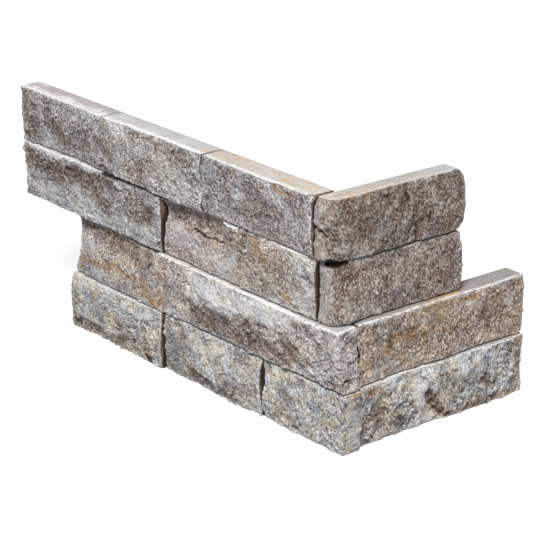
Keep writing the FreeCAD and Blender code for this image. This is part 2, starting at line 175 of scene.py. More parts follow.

# Marks on the split faces, from the photograph: veins, stains, pale ridges and dark hollows. The dark
# marks are partly stains and partly painted shade under overhangs and in hollows; the pale marks are
# partly veins and partly painted highlight on ridges and slopes that face up.
#   side      "long" for what faces -Y, with points (x, z); "short" for what faces +X, with (y, z);
#             "top" for the sawn top, with (x, y)
#   tone      rust, dark, pale or blue; crack, which is cut in and filled with painted shade; or gap, a
#             straight line of painted shade along a joint
#   width     half width; the tone is full up to MARK_FULL and gone from MARK_GONE times that
#   strength  share of the tone in the middle
MARK_FULL = 0.35
MARK_GONE = 1.5
Mark = namedtuple("Mark", "side tone width strength path")
TONES = ("rust", "dark", "pale", "blue", "crack", "gap")


def long(tone, width, strength, *path):
    return Mark("long", tone, width, strength, path)


def short(tone, width, strength, *path):
    return Mark("short", tone, width, strength, path)


def top(tone, width, strength, *path):
    return Mark("top", tone, width, strength, path)


MARKS = {
    "top_left_stone": [
        long("dark", 9, 0.7, (-298, 142), (-290, 128), (-296, 118)),
        long("dark", 8, 0.65, (-272, 138), (-262, 126), (-256, 122)),
        long("dark", 8, 0.4, (-232, 128), (-215, 122), (-212, 118)),
        long("pale", 6, 0.35, (-285, 117), (-252, 117)),
        long("pale", 5, 0.3, (-222, 146), (-214, 140)),
        top("pale", 3.6, 0.9, (-304, -14), (-270, -14), (-262, -11), (-240, -15), (-209, -13)),
        top("pale", 3.0, 0.7, (-304, -3), (-290, -5)),
    ],
    "top_middle_stone": [
        long("rust", 3, 0.5, (-207, 148), (-203, 142)),
        long("rust", 3, 0.4, (-200, 139), (-188, 137), (-180, 143)),
        long("rust", 3, 0.4, (-207, 134), (-205, 122), (-203, 118)),
        long("pale", 4, 0.5, (-196, 146), (-186, 146)),
        long("dark", 3.5, 0.6, (-168, 148), (-152, 147), (-150, 143)),
        long("dark", 6, 0.55, (-140, 147), (-132, 143), (-122, 140), (-112, 132)),
        long("dark", 6, 0.35, (-182, 128), (-168, 128)),
        long("pale", 9, 0.45, (-146, 136), (-136, 128), (-120, 122)),
        long("pale", 6, 0.3, (-128, 118), (-108, 115)),
        long("gap", 0.7, 0.9, (-103.2, 149.5), (-103.4, 143), (-102.9, 135)),
        long("gap", 0.7, 0.9, (-103.4, 123), (-102.9, 113)),
        top("rust", 1.6, 0.8, (-114, -12), (-108, -13), (-105, -8)),
        top("pale", 3.0, 0.7, (-207, -16), (-160, -16), (-104, -16)),
    ],
    "top_right_stone": [
        long("dark", 6, 0.4, (-92, 140), (-86, 128), (-76, 136)),
        long("dark", 7, 0.5, (-62, 140), (-50, 137), (-44, 128), (-38, 134)),
        long("dark", 7, 0.4, (-60, 121), (-30, 118), (-8, 118)),
        long("pale", 5, 0.5, (-76, 135), (-68, 133)),
        long("pale", 5, 0.3, (-100, 127), (-92, 120)),
        long("pale", 5, 0.25, (-40, 140), (-25, 136)),
        long("rust", 2.2, 0.9, (-34, 147), (-28, 146), (-20, 146), (-14, 147)),
        long("rust", 2, 0.6, (-74, 146), (-68, 143)),
        long("rust", 2.5, 0.5, (-101, 133), (-100, 128)),
        long("gap", 0.7, 0.9, (-102.9, 149.5), (-102.6, 143), (-102.9, 135)),
        long("gap", 0.7, 0.9, (-102.7, 123), (-102.4, 113)),
        top("rust", 1.4, 0.7, (-97, -2), (-80, -7), (-70, -5)),
        top("rust", 1.2, 0.5, (-62, -3), (-42, -8), (-28, -6)),
        top("rust", 1.4, 0.7, (-28, -1), (-18, -3), (-8, -8)),
        top("rust", 1.2, 0.6, (-37, -12), (-20, -14)),
    ],
    "top_corner_stone": [
        long("crack", 1.0, 1.0, (0, 132), (5, 132), (8, 131), (11, 129)),
        long("dark", 4, 0.5, (9, 137), (12, 130)),
        long("pale", 7, 0.55, (4, 145), (5, 136)),
        long("pale", 6, 0.45, (5, 125), (6, 118)),
        long("rust", 9, 0.3, (5, 146), (6, 116)),
        short("gap", 0.6, 0.7, (17, 112.6), (82, 112.6)),
        long("rust", 2, 0.7, (1, 133), (6, 133.5)),
        short("crack", 1.5, 0.8, (39, 143), (41, 138.5)),
        short("crack", 1.3, 0.8, (47, 122), (47, 113)),
        short("dark", 2.3, 0.6, (50, 122), (50.5, 114)),
        short("crack", 1.2, 0.8, (57, 129), (57, 124)),
        short("dark", 5, 0.6, (-6, 145), (-2, 136), (8, 132), (12, 128)),
        short("dark", 5, 0.5, (38, 146), (42, 134), (49, 124)),
        short("dark", 5, 0.5, (60, 146), (68, 134), (76, 130)),
        short("pale", 4, 0.4, (14, 128), (18, 118)),
        short("pale", 3, 0.5, (25, 135), (30, 138)),
        short("pale", 5, 0.35, (-10, 122), (-4, 116), (6, 115)),
        short("blue", 5, 0.4, (8, 134), (16, 131), (26, 127)),
        short("rust", 2, 0.5, (-10, 149), (20, 149)),
        short("rust", 4, 0.35, (66, 120), (80, 118)),
    ],
    "second_corner_stone": [
        short("gap", 0.5, 0.7, (17, 112.4), (82, 112.4)),
        # Painted shade at the top left, under the top course
        short("dark", 5, 0.7, (-13, 108), (-4, 107), (2, 104)),
        short("dark", 3, 0.6, (22, 97), (25, 91)),
        short("dark", 2.5, 0.6, (38, 108), (40, 103)),
        short("dark", 4, 0.4, (58, 100), (60, 90)),
        short("pale", 3, 0.35, (34, 103), (33, 95)),
        short("pale", 6, 0.35, (-6, 84), (8, 80), (24, 79)),
        long("pale", 11, 0.53, (5, 106), (6, 80)),
    ],
    "second_left_stone": [
        long("pale", 1.5, 0.7, (-304, 111.6), (-250, 111.4), (-215, 111)),
        long("gap", 1.1, 1.0, (-211, 112.6), (-150, 112.6)),
        # Partly painted shade in the scoop under the top course
        long("dark", 7.5, 1.0, (-300, 104), (-285, 101), (-270, 99), (-250, 104), (-235, 105),
             (-215, 102)),
        long("dark", 1.8, 1.0, (-303, 99), (-297, 103.5), (-289, 105), (-280, 103)),
        long("dark", 3, 0.6, (-262, 95), (-250, 96)),
        long("dark", 6, 0.75, (-225, 98), (-212, 94), (-205, 88)),
        long("dark", 8, 0.6, (-205, 104), (-190, 100), (-175, 98), (-160, 96)),
        long("pale", 8, 0.6, (-298, 90), (-285, 84), (-265, 86), (-245, 82), (-225, 84), (-205, 80),
             (-180, 80), (-160, 84)),
    ],
    "second_middle_stone": [
        # Partly painted shade above the ledge, under the top course's overhang
        long("dark", 6, 0.6, (-142, 106), (-125, 103), (-105, 102), (-90, 106), (-78, 108)),
        long("gap", 1.2, 1.0, (-150, 112.4), (-103, 112.4)),
        long("crack", 0.8, 0.9, (-119, 98), (-104, 97.3), (-96, 97.6), (-86, 98.8)),
        long("pale", 9, 0.5, (-135, 93), (-115, 89), (-105, 86), (-90, 82), (-78, 79)),
        long("pale", 4.5, 0.9, (-90, 83), (-82, 87), (-77, 90)),
        long("pale", 1.4, 0.8, (-104, 86), (-92, 89), (-84, 93)),
        long("rust", 1.5, 0.7, (-129, 99), (-120, 98.6)),
        long("rust", 1.6, 0.5, (-97, 96), (-90, 95)),
    ],
    "second_right_stone": [
        long("rust", 4, 0.7, (-58, 107), (-50, 104), (-46, 100)),
        long("rust", 2.5, 0.5, (-40, 108), (-36, 104)),
        long("rust", 2.6, 0.9, (-28, 83), (-22, 82)),
        long("dark", 4, 0.65, (-66, 110), (-68, 100), (-71, 92)),
        long("dark", 4, 0.45, (-62, 84), (-58, 78)),
        long("dark", 3, 0.35, (-48, 88), (-46, 82)),
        long("pale", 5, 0.5, (-14, 84), (-10, 88)),
        long("pale", 7, 0.3, (-52, 96), (-40, 92)),
        long("blue", 8, 0.2, (-24, 100), (-12, 98)),
    ],
    "third_left_stone": [
        # Partly painted shade under second_left's overhang
        long("dark", 6.5, 0.8, (-243, 72), (-215, 69), (-190, 68), (-165, 67)),
        long("gap", 1.1, 1.0, (-245, 75.0), (-154, 75.0)),
        long("rust", 1.8, 1.0, (-242, 47), (-229, 49), (-218, 47.5), (-198, 54), (-187, 50), (-174, 51),
             (-168, 49), (-162, 42), (-153, 37)),
        long("rust", 6, 0.7, (-172, 50), (-160, 42), (-152, 46)),
        long("rust", 9, 0.25, (-150, 60), (-132, 50)),
        long("blue", 5, 0.6, (-234, 42), (-205, 41), (-185, 42)),
        long("pale", 4, 0.5, (-225, 43), (-192, 45)),
    ],
    "third_corner_stone": [
        long("gap", 0.7, 0.85, (-118, 37.6), (22, 37.6)),
        # Pale upper half and dark lower band: partly the stone's own tones, partly painted highlight
        # where the ridge faces up and painted shade where it faces down
        long("pale", 8, 0.95, (-116, 65), (-100, 65), (-80, 66), (-60, 67), (-40, 69), (-25, 71)),
        long("pale", 4, 0.7, (-117, 61), (-108, 57.5), (-92, 57)),
        long("pale", 2.6, 0.9, (-43, 66), (-38, 60)),
        long("dark", 7.5, 0.95, (-116, 50), (-105, 45), (-92, 45), (-80, 43), (-66, 43)),
        long("dark", 7.0, 0.8, (-66, 44), (-50, 45), (-40, 43), (-28, 45), (-20, 50)),
        long("dark", 3.0, 0.4, (-100, 54), (-80, 53), (-62, 54)),
        long("pale", 1.8, 0.8, (-76, 58), (-70, 51)),
        long("pale", 1.6, 0.7, (-56, 57), (-51, 50), (-47, 45)),
        long("pale", 1.6, 0.6, (-96, 54), (-90, 47)),
        long("dark", 5, 0.45, (-60, 56), (-50, 54)),
        long("dark", 4, 0.8, (-28, 52), (-22, 54)),
        long("pale", 4, 0.6, (15, 68), (19, 60)),
        long("rust", 9, 0.15, (0, 58), (12, 46)),
        short("dark", 3.5, 0.6, (-5, 67), (0, 62)),
        short("crack", 1.1, 0.9, (-13, 45), (-7, 44)),
        short("pale", 5, 0.4, (-16, 66), (-12, 54)),
    ],
    "third_side_stone": [
        short("rust", 2.6, 0.95, (50, 71.5), (65, 73), (83, 71.5), (92, 69)),
        short("rust", 4.5, 0.8, (28, 60), (24, 53)),
        short("rust", 5, 0.55, (33, 60), (48, 60), (53, 57)),
        short("rust", 2.6, 0.7, (2, 51), (6, 52)),
        short("rust", 3, 0.5, (27, 49), (34, 48)),
        short("rust", 5, 0.5, (66, 66), (60, 62)),
        short("rust", 5, 0.4, (90, 58), (97, 60)),
        short("dark", 3.2, 0.7, (24, 63), (26, 55)),
        short("dark", 3, 0.4, (98, 63), (100, 55)),
        short("dark", 3, 0.5, (118, 72), (129, 71)),
        short("blue", 3.6, 1.0, (13, 47), (20, 46)),
        short("crack", 0.7, 1.0, (0.5, 62), (0.5, 50)),
        short("pale", 4, 0.5, (10, 42), (30, 44)),
    ],
    "base_left_stone": [
        long("blue", 5, 0.9, (-230, 29), (-214, 26), (-212, 14)),
        long("rust", 10, 0.2, (-236, 12), (-222, 20)),
        long("blue", 6, 0.5, (-240, 24), (-236, 14)),
        long("dark", 5, 0.85, (-240, 7), (-222, 5), (-205, 3), (-190, 3)),
        long("dark", 5, 0.45, (-190, 12), (-175, 13), (-165, 10)),
        long("crack", 1.3, 0.9, (-166, 3), (-157, 1)),
        long("pale", 4, 0.6, (-240, 34), (-200, 33), (-160, 32)),
        long("pale", 7, 0.45, (-216, 26), (-200, 20), (-190, 26)),
        long("rust", 3, 0.5, (-223, 31), (-220, 27)),
        long("rust", 4, 0.4, (-172, 4), (-158, 6)),
    ],
    "base_middle_stone": [
        long("gap", 0.6, 0.85, (-150, 37.4), (-49, 37.4)),
        long("blue", 7, 0.95, (-142, 25), (-137, 18), (-135, 8)),
        long("blue", 10, 0.3, (-125, 20), (-110, 14)),
        long("dark", 4, 0.9, (-118, 5), (-105, 6), (-92, 3), (-78, 3)),
        long("dark", 3, 0.5, (-82, 9), (-70, 10)),
        long("dark", 3, 0.45, (-144, 33), (-130, 33)),
        long("dark", 4, 0.35, (-120, 22), (-112, 14)),
        long("pale", 7, 0.5, (-116, 28), (-92, 27), (-76, 26)),
        long("rust", 8, 0.25, (-72, 20), (-56, 12)),
        long("rust", 4, 0.3, (-62, 31), (-55, 28)),
    ],
    "base_corner_stone": [
        long("gap", 0.6, 0.85, (-49, 37.4), (22, 37.4)),
        long("blue", 5, 0.95, (-31, 24), (-25, 20)),
        long("blue", 9, 0.3, (-38, 12), (-20, 12)),
        long("rust", 9, 0.22, (-22, 28), (-8, 10)),
        long("dark", 3, 0.5, (-31, 23), (-26, 21)),
        long("pale", 4, 0.7, (-43, 28), (-40, 17)),
        long("pale", 4, 0.6, (-36, 35), (-24, 33)),
        long("dark", 4, 0.5, (-42, 7), (-30, 8), (-18, 6)),
        long("rust", 6, 0.35, (0, 15), (12, 9), (18, 14)),
        long("rust", 2, 0.6, (-45, 31), (-36, 27)),
        long("blue", 5, 0.4, (-12, 25), (2, 22)),
        short("blue", 5, 0.95, (-11, 24), (-6, 18)),
        short("dark", 2.5, 0.7, (-15, 34), (-12, 30)),
        short("pale", 6, 0.5, (-10, 30), (-5, 8)),
        short("rust", 1.5, 0.9, (-15, 36), (0, 36.4)),
        short("rust", 3, 0.5, (-14, 4), (0, 3)),
    ],
    "base_side_stone": [
        short("pale", 4.5, 0.6, (18, 33), (50, 35)),
        short("pale", 4.2, 1.0, (46, 31), (48, 16), (50, 7), (55, 2)),
        # Painted shade in the scallop to the right of the pale ridge
        short("dark", 3.4, 1.0, (55, 20), (58, 13), (62, 8), (67, 3)),
        short("rust", 4.0, 0.5, (57, 14), (64, 4)),
        short("crack", 0.8, 0.5, (57, 14), (60, 9), (65, 4)),
        short("dark", 5.5, 0.75, (8, 16), (19, 18), (16, 10), (8, 9)),
        short("dark", 5, 0.5, (30, 8), (42, 6)),
        short("dark", 2.5, 0.6, (44, 14), (48, 12)),
        short("dark", 2.4, 0.7, (98, 27), (99, 9)),
        short("dark", 3, 0.75, (78, 3), (90, 3), (108, 3)),
        short("blue", 4, 0.8, (8, 29), (14, 23)),
        short("blue", 4, 0.6, (30, 9), (38, 5)),
        short("blue", 10, 0.5, (68, 27), (76, 20), (92, 22)),
        short("pale", 5, 0.5, (70, 30), (90, 32)),
        short("blue", 6, 0.8, (98, 29), (104, 15)),
        short("rust", 2.8, 0.9, (9, 33), (16, 30)),
        short("rust", 3, 0.9, (123, 34), (128, 36)),
        short("rust", 2.2, 0.5, (74, 33), (70, 19)),
        short("rust", 4, 0.5, (126, 25), (128, 12), (125, 3)),
        short("rust", 1.8, 0.6, (58, 2), (90, 1.5), (126, 1)),
    ],
}

# Pieces broken out of the stones' corners: middle and half sizes, x, y, z. Those that open a gap
# between two stones get painted shade inside. CHIP_ROUGH is the unevenness, as a share, and its size.
CHIP_ROUGH = (0.14, 3.0)
Chip = namedtuple("Chip", "middle size")
CHIPS = {
    "top_right_stone": [Chip((0.0, -19.0, 151.0), (5.0, 4.5, 4.5))],
    "top_corner_stone": [Chip((17.0, -17.0, 111.5), (9.0, 9.0, 5.0))],
    "second_corner_stone": [Chip((16.0, -20.0, 112.7), (16.0, 17.5, 3.4))],
}
SHADED_CHIPS = ("top_corner_stone", "second_corner_stone")

# Swells and dents of the split faces that come on top of the CAD facets, for each side in rows
# of five: middle, as the points of a mark, half widths, and height outwards
SWELLS = {
    "top_left_stone": {
        "long": [(-255, 149, 26, 8, 1.0), (-284, 113, 12, 6, -1.0), (-304, 112, 5, 4, 1.4)],
    },
    "top_middle_stone": {
        "long": [(-138, 113, 34, 8, 1.4), (-196, 113, 14, 6, 0.8), (-102, 127, 7, 4, -1.4),
                 (-106, 117, 8, 6, 1.3)],
    },
    "top_right_stone": {
        "long": [(0, 120, 24, 14, 2.4), (-55, 114, 30, 5, 1.4), (-78, 148, 6, 4, -0.8),
                 (-97, 117, 8, 7, -0.9), (-12, 148, 9, 5, 1.0)],
    },
    "top_corner_stone": {
        "long": [(0, 126, 9, 16, 1.9), (0, 143, 9, 5, 1.0)],
        "short": [(8, 148, 24, 7, 1.0), (9, 114, 9, 5, 1.8), (82, 115, 6, 4, 1.4),
                  (35, 113, 44, 4, 0.3)],
    },
    "second_left_stone": {
        "long": [(-149, 94, 15, 17, -1.8), (-168, 111, 26, 6, -1.9), (-205, 111, 8, 4, 1.3),
                 (-262, 101, 34, 6, -1.4)],
    },
    "second_middle_stone": {
        "long": [(-148, 112, 14, 3.5, 4.6), (-148, 98, 12, 4.5, -2.6), (-148, 89, 12, 6, -1.4),
                 (-100, 101, 16, 3.0, -1.5), (-85, 77, 20, 6, -1.2)],
    },
    "second_right_stone": {
        "long": [(0, 93, 12, 11, -1.6), (-45, 112, 40, 5, -2.2), (0, 110, 8, 6, -1.4)],
    },
    "second_corner_stone": {
        "long": [(0, 100, 9, 12, -0.7), (0, 78, 10, 6, 1.0)],
        "short": [(-2, 78, 12, 7, 2.0), (75, 112, 14, 4, 0.4)],
    },
    "third_left_stone": {
        "long": [(-205, 40, 22, 7, 1.6), (-246, 50, 8, 9, -1.6), (-215, 70, 36, 5, -2.6)],
    },
    "third_corner_stone": {
        "long": [(-82, 40, 34, 6, 1.8), (-15, 73, 10, 5, 1.2), (8, 39, 16, 4, -1.0)],
    },
    "third_side_stone": {
        "short": [(24, 73, 12, 5, 1.1), (80, 73, 14, 5, -0.9), (36, 40, 12, 5, -1.0),
                  (74, 40, 14, 6, 1.4)],
    },
    "base_left_stone": {
        "long": [(-242, 16, 26, 22, 1.6), (-200, 34, 40, 6, 0.8)],
    },
    "base_middle_stone": {
        "long": [(-90, 4, 32, 9, 1.3), (-147, 2, 8, 6, -1.4), (-50, 7, 14, 11, -2.8),
                 (-50, 37, 9, 4, -1.4)],
    },
    "base_corner_stone": {
        "long": [(-50, 9, 12, 8, 1.9), (-50, 25, 8, 5, -2.0), (-50, 37, 9, 4, 1.6)],
    },
    "base_side_stone": {
        "short": [(12, 35, 18, 6, 1.8), (92, 35, 20, 6, -1.2), (4, 3, 10, 6, 1.8), (49, 17, 4, 14, 1.4),
                  (60, 14, 5, 9, -1.9), (66, 2, 8, 5, 1.6), (132, 18, 6, 18, -2.2)],
    },
}


# Random numbers from -1 to 1, one row for each cell of a block that repeats
BLOCK = 64
NUMBERS = np.random.default_rng(11).uniform(-1, 1, (BLOCK ** 3, 7)).astype(np.float32)
HEIGHTS = np.ascontiguousarray(NUMBERS[:, 6])
SEED_STEPS = (7, 13, 29)

# Facets of the broken noise: how far their middles stray, their height and their tilt
STRAY = 0.42
FACET_HEIGHT = 0.45
FACET_TILT = 1.1


def row_of(cell, seed):
    """Which row of the random numbers belongs to a whole-numbered cell."""
    x, y, z = ((cell[:, i] + seed * step) & (BLOCK - 1) for i, step in enumerate(SEED_STEPS))
    return (x * BLOCK + y) * BLOCK + z


def smooth_noise(points, size, seed):
    """Soft noise from about -1 to 1 with swells of the given size."""
    place = (points / size).astype(np.float32)
    floor = np.floor(place)
    share = place - floor
    share = share * share * (3 - 2 * share)
    cell = floor.astype(np.int64)
    total = np.zeros(len(points), np.float32)
    for corner in np.ndindex(2, 2, 2):
        x, y, z = (share[:, i] if corner[i] else 1 - share[:, i] for i in range(3))
        total += x * y * z * HEIGHTS[row_of(cell + np.array(corner), seed)]
    return total


def broken_noise(points, size, seed):
    """Flat tilted facets that meet in ridges and small steps, from about -1 to 1."""
    place = (points / size).astype(np.float32)
    cell = np.floor(place - 0.5).astype(np.int64)
    nearest = np.full(len(points), np.inf, np.float32)
    height = np.zeros(len(points), np.float32)
    for corner in np.ndindex(2, 2, 2):
        other = cell + np.array(corner)
        row = row_of(other, seed)
        away = place - other.astype(np.float32) - 0.5 - STRAY * NUMBERS[row, :3]
        distance = (away * away).sum(1)
        closer = distance < nearest
        nearest[closer] = distance[closer]
        tilt = (NUMBERS[row[closer], 3:6] * away[closer]).sum(1)
        height[closer] = FACET_HEIGHT * HEIGHTS[row[closer]] + FACET_TILT * tilt
    return height


def wander(points, seed, swells):
    """Two random shifts, each made of a broad and a fine swell."""
    (broad, broad_size), (fine, fine_size) = swells
    return [broad * smooth_noise(points, broad_size, seed + i)
            + fine * smooth_noise(points, fine_size, seed + 2 + i) for i in range(2)]


def soft_max(first, second, radius):
    """The larger of two distances, with the edge where they meet rounded off."""
    lap = np.maximum(radius - np.abs(first - second), 0) / np.maximum(radius, 1e-6)
    return np.maximum(first, second) + lap * lap * radius * 0.25


def ease(value, start, end):
    """Rises softly from 0 at start to 1 at end."""
    share = np.clip((value - start) / (end - start), 0, 1)
    return share * share * (3 - 2 * share)


def node_triangles(name):
    """The corners of a CAD node's triangles in millimetres, and their normals."""
    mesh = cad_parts[name].data
    mesh.calc_loop_triangles()
    places = np.array([v.co for v in mesh.vertices]) / MM
    corners = places[np.array([t.vertices for t in mesh.loop_triangles])]
    normals = np.cross(corners[:, 1] - corners[:, 0], corners[:, 2] - corners[:, 0])
    lengths = np.linalg.norm(normals, axis=1)
    kept = lengths > 1e-6
    return corners[kept], normals[kept] / lengths[kept, None]


# Turns from world x, y, z to a stone's own u, d, z, on the long leg and on the short leg
LONG_TURN = np.diag((1.0, -1.0, 1.0))
SHORT_TURN = np.array(((0.0, 1.0, 0.0), (-1.0, 0.0, 0.0), (0.0, 0.0, 1.0)))


class Relief:
    """Height of a split face over two other axes, read from its facets."""

    def __init__(self, corners, across, up, height):
        flat = corners[:, :, (across, up)]
        self.low = flat.reshape(-1, 2).min(0) - RELIEF_PAD
        size = (flat.reshape(-1, 2).max(0) + RELIEF_PAD - self.low) / RELIEF_STEP
        self.grid = np.full(np.ceil(size).astype(int) + 1, np.nan)
        for outline, heights in zip(flat, corners[:, :, height]):
            self.draw(outline, heights)
        self.fill_gaps()
        self.soften()

    def draw(self, outline, heights):
        """Writes one facet into the grid."""
        place = (outline - self.low) / RELIEF_STEP
        first = np.floor(place.min(0)).astype(int)
        last = np.ceil(place.max(0)).astype(int) + 1
        a, b = np.meshgrid(np.arange(first[0], last[0]), np.arange(first[1], last[1]), indexing="ij")
        (ax, ay), (bx, by), (cx, cy) = place
        area = (by - cy) * (ax - cx) + (cx - bx) * (ay - cy)
        if abs(area) < 1e-9:
            return
        one = ((by - cy) * (a - cx) + (cx - bx) * (b - cy)) / area
        two = ((cy - ay) * (a - cx) + (ax - cx) * (b - cy)) / area
        three = 1 - one - two
        inside = (one >= -1e-6) & (two >= -1e-6) & (three >= -1e-6)
        value = one * heights[0] + two * heights[1] + three * heights[2]
        patch = self.grid[first[0]:last[0], first[1]:last[1]]
        patch[inside] = value[inside]

    def near(self):
        """The four neighbours of every grid point."""
        wide = np.pad(self.grid, 1, mode="edge")
        return np.stack([wide[2:, 1:-1], wide[:-2, 1:-1], wide[1:-1, 2:], wide[1:-1, :-2]])

    def fill_gaps(self):
        """Carries the nearest heights into the points that no facet covers."""
        while np.isnan(self.grid).any():
            near = self.near()
            count = (~np.isnan(near)).sum(0)
            mean = np.nansum(near, 0) / np.maximum(count, 1)
            empty = np.isnan(self.grid) & (count > 0)
            self.grid[empty] = mean[empty]

    def soften(self):
        """Takes the last sharpness off the facets' edges."""
        self.grid = 0.5 * self.grid + 0.5 * self.near().mean(0)

    def lowest(self):
        """The lowest height, apart from what lies past the facets."""
        pad = round(RELIEF_PAD / RELIEF_STEP)
        return self.grid[pad:-pad, pad:-pad].min()

    def at(self, across, up):
        """The height at any point."""
        place = (np.stack([across, up], -1) - self.low) / RELIEF_STEP
        place = np.clip(place, 0, np.array(self.grid.shape) - 1.001)
        cell = place.astype(int)
        a, b = np.moveaxis(place - cell, -1, 0)
        i, j = np.moveaxis(cell, -1, 0)
        low = self.grid[i, j] * (1 - a) + self.grid[i + 1, j] * a
        high = self.grid[i, j + 1] * (1 - a) + self.grid[i + 1, j + 1] * a
        return low * (1 - b) + high * b


def way_to_path(first, second, path):
    """Distance of points in a plane to a line of points."""
    nearest = np.full(len(first), np.inf)
    for (ax, ay), (bx, by) in zip(path, path[1:]):
        length = (bx - ax) ** 2 + (by - ay) ** 2
        share = np.clip(((first - ax) * (bx - ax) + (second - ay) * (by - ay)) / length, 0, 1)
        gap = np.hypot(first - ax - share * (bx - ax), second - ay - share * (by - ay))
        nearest = np.minimum(nearest, gap)
    return nearest


# World axes that a mark's points are given in
SIDE_AXES = {"long": (0, 2), "short": (1, 2), "top": (0, 1)}

# Tight joint as one of its stones sees it
#   side    0 at the stone's low end, 1 at its high end
#   own     where the stone ends
#   reach   how far it goes on into the joint
#   relief  the other stone's face, and other where to read it
#   share   how much of the step between the two faces this stone makes up for
Joint = namedtuple("Joint", "side own reach relief other share")
STEP_SHARE = 0.5

# The same at the corner, and the depth at which the other stone's split end is read there
CORNER_SHARE = 0.4
CORNER_READ = 0.5


class Body:
    """One stone: its sawn planes, its relief and its own axes, read from its CAD node."""

    def __init__(self, name):
        self.name = name
        self.stone = STONES[name]
        first = next((pair[0] for pair in reversed(TIGHT_JOINTS) if pair[1] == name), name)
        self.seed = 101 * (sorted(STONES).index(first) + 1)
        corners, normals = node_triangles(name)
        spread = np.ptp(corners.reshape(-1, 3), axis=0)
        self.along_y = bool(spread[1] > spread[0])
        self.turn = SHORT_TURN if self.along_y else LONG_TURN
        corners, normals = corners @ self.turn, normals @ self.turn
        self.low = corners.reshape(-1, 3).min(0)
        self.high = corners.reshape(-1, 3).max(0)
        split = np.abs(normals).max(1) < FLAT
        facing = split & (normals[:, 1] > normals[:, 0])
        ending = split & ~facing & (corners[:, :, 0].mean(1) > self.low[0] + END_START)
        self.face = Relief(corners[facing], 0, 2, 1)
        self.end = Relief(corners[ending], 1, 2, 0) if ending.sum() > END_FACETS else None
        box = np.array([list(cad_low), list(cad_high)]) / MM
        self.reach = (box @ self.turn).max(0)
        # Whether the low end is an end of the whole leg, the tight joints, and the stone on the
        # right where the head joint to it is open
        self.outer_low = self.along_y or name.endswith("_left_stone")
        self.tight = []
        self.right = None

    def warped(self, a, b, seed):
        """Two axes, shifted a little at random so that the relief's edges aren't straight."""
        shape = np.broadcast_shapes(a.shape, b.shape)
        a, b = np.broadcast_to(a, shape), np.broadcast_to(b, shape)
        points = np.stack([a, b, np.zeros(shape)], -1).reshape(-1, 3)
        shift = wander(points, seed, RELIEF_WANDER)
        return a + shift[0].reshape(shape), b + shift[1].reshape(shape)

    def meet(self, other, side):
        """Takes note of a tight joint on one side, 0 for the low end and 1 for the high end."""
        own = (self.low, self.high)[side][0]
        there = (other.high, other.low)[side][0]
        self.tight.append(Joint(side, own, TIGHT, other.face, there, STEP_SHARE))

    def meet_corner(self, other):
        """Takes note of a tight joint between the high end and a stone that runs through the corner."""
        self.tight.append(Joint(1, self.high[0], 2 * TIGHT, other.end, CORNER_READ, CORNER_SHARE))

    def depth_in_joint(self, d, z):
        """How deep in the open joint a point lies: 0 beside the right stone's face, 1 behind it."""
        if self.right is None:
            return np.zeros_like(d)
        if self.right.along_y:
            face = self.right.end.at(0 * z + 1, z)
        else:
            face = self.right.face.at(0 * z + self.right.low[0], z)
        below_top = ease(z, self.high[2] - 1, self.high[2] - 5)
        return below_top * ease(d, face + 0.9, face + 0.1)

    def ends(self, u):
        """Signed distances to the sawn ends: those that stand free and those in tight joints."""
        free, tight = np.full_like(u, -FAR), np.full_like(u, -FAR)
        sides = [(0, self.low[0] - u)]
        if self.end is None:
            sides.append((1, u - self.high[0]))
        for side, way in sides:
            reach = sum(joint.reach for joint in self.tight if joint.side == side)
            if reach:
                tight = np.maximum(tight, way - reach)
            else:
                free = np.maximum(free, way)
        return free, tight

    def sawn(self, u, d, z):
        """Signed distance to the sawn planes that stand free, below 0 inside."""
        beds = np.maximum(self.low[2] - z, z - self.high[2])
        return np.maximum(soft_max(self.ends(u)[0], beds, self.stone.far_worn), -d)

    def swollen(self, on_long, along, z):
        """Height of the stone's own swells and dents on one of its split sides."""
        total = 0.0 * (along + z)
        side = "long" if on_long else "short"
        for middle, middle_z, reach, reach_z, height in SWELLS[self.name].get(side, ()):
            away = ((along - middle) / reach) ** 2 + ((z - middle_z) / reach_z) ** 2
            total = total + height * np.exp(-away)
        return total

    def split(self, u, d, z):
        """Signed distances to the split face and to the split end, below 0 inside."""
        face = self.face.at(*self.warped(u, z, self.seed))
        for joint in self.tight:
            own = self.face.at(*self.warped(joint.own + 0 * u, z, self.seed))
            there = joint.relief.at(*self.warped(joint.other + 0 * u, z, self.seed))
            face = face + joint.share * (there - own) * np.exp(-((u - joint.own) / BLEND) ** 2)
        face = face + self.swollen(not self.along_y, -u if self.along_y else u, z)
        face = (d - face) * SLOPE
        if self.end is None:
            return face, face - FAR
        end = self.end.at(*self.warped(d, z, self.seed + 4))
        end = end + self.swollen(self.along_y, d if self.along_y else -d, z)
        return face, (u - end) * SLOPE

    def tones(self, points, on_end):
        """Share of each tone of the marks, from 0 to 1."""
        world = points @ self.turn.T
        shift = wander(points, self.seed + 50, MARK_WANDER)
        on_top = ease(points[:, 2], self.high[2] - 1.0, self.high[2] - 0.2)
        on_face = ease(points[:, 1], 4, 8)
        if self.end is not None:
            on_face = on_face * (1 - on_end)
        tones = {tone: np.zeros(len(points)) for tone in TONES}
        for mark in MARKS[self.name]:
            moved = [world[:, axis] + (mark.tone != "gap") * by
                     for axis, by in zip(SIDE_AXES[mark.side], shift)]
            way = way_to_path(*moved, mark.path)
            share = mark.strength * ease(way, MARK_GONE * mark.width, MARK_FULL * mark.width)
            if mark.side == "top":
                share = share * on_top
            elif self.end is not None and (mark.side == "long") == self.along_y:
                share = share * on_end
            else:
                share = share * on_face
            tones[mark.tone] = np.maximum(tones[mark.tone], share)
        return tones

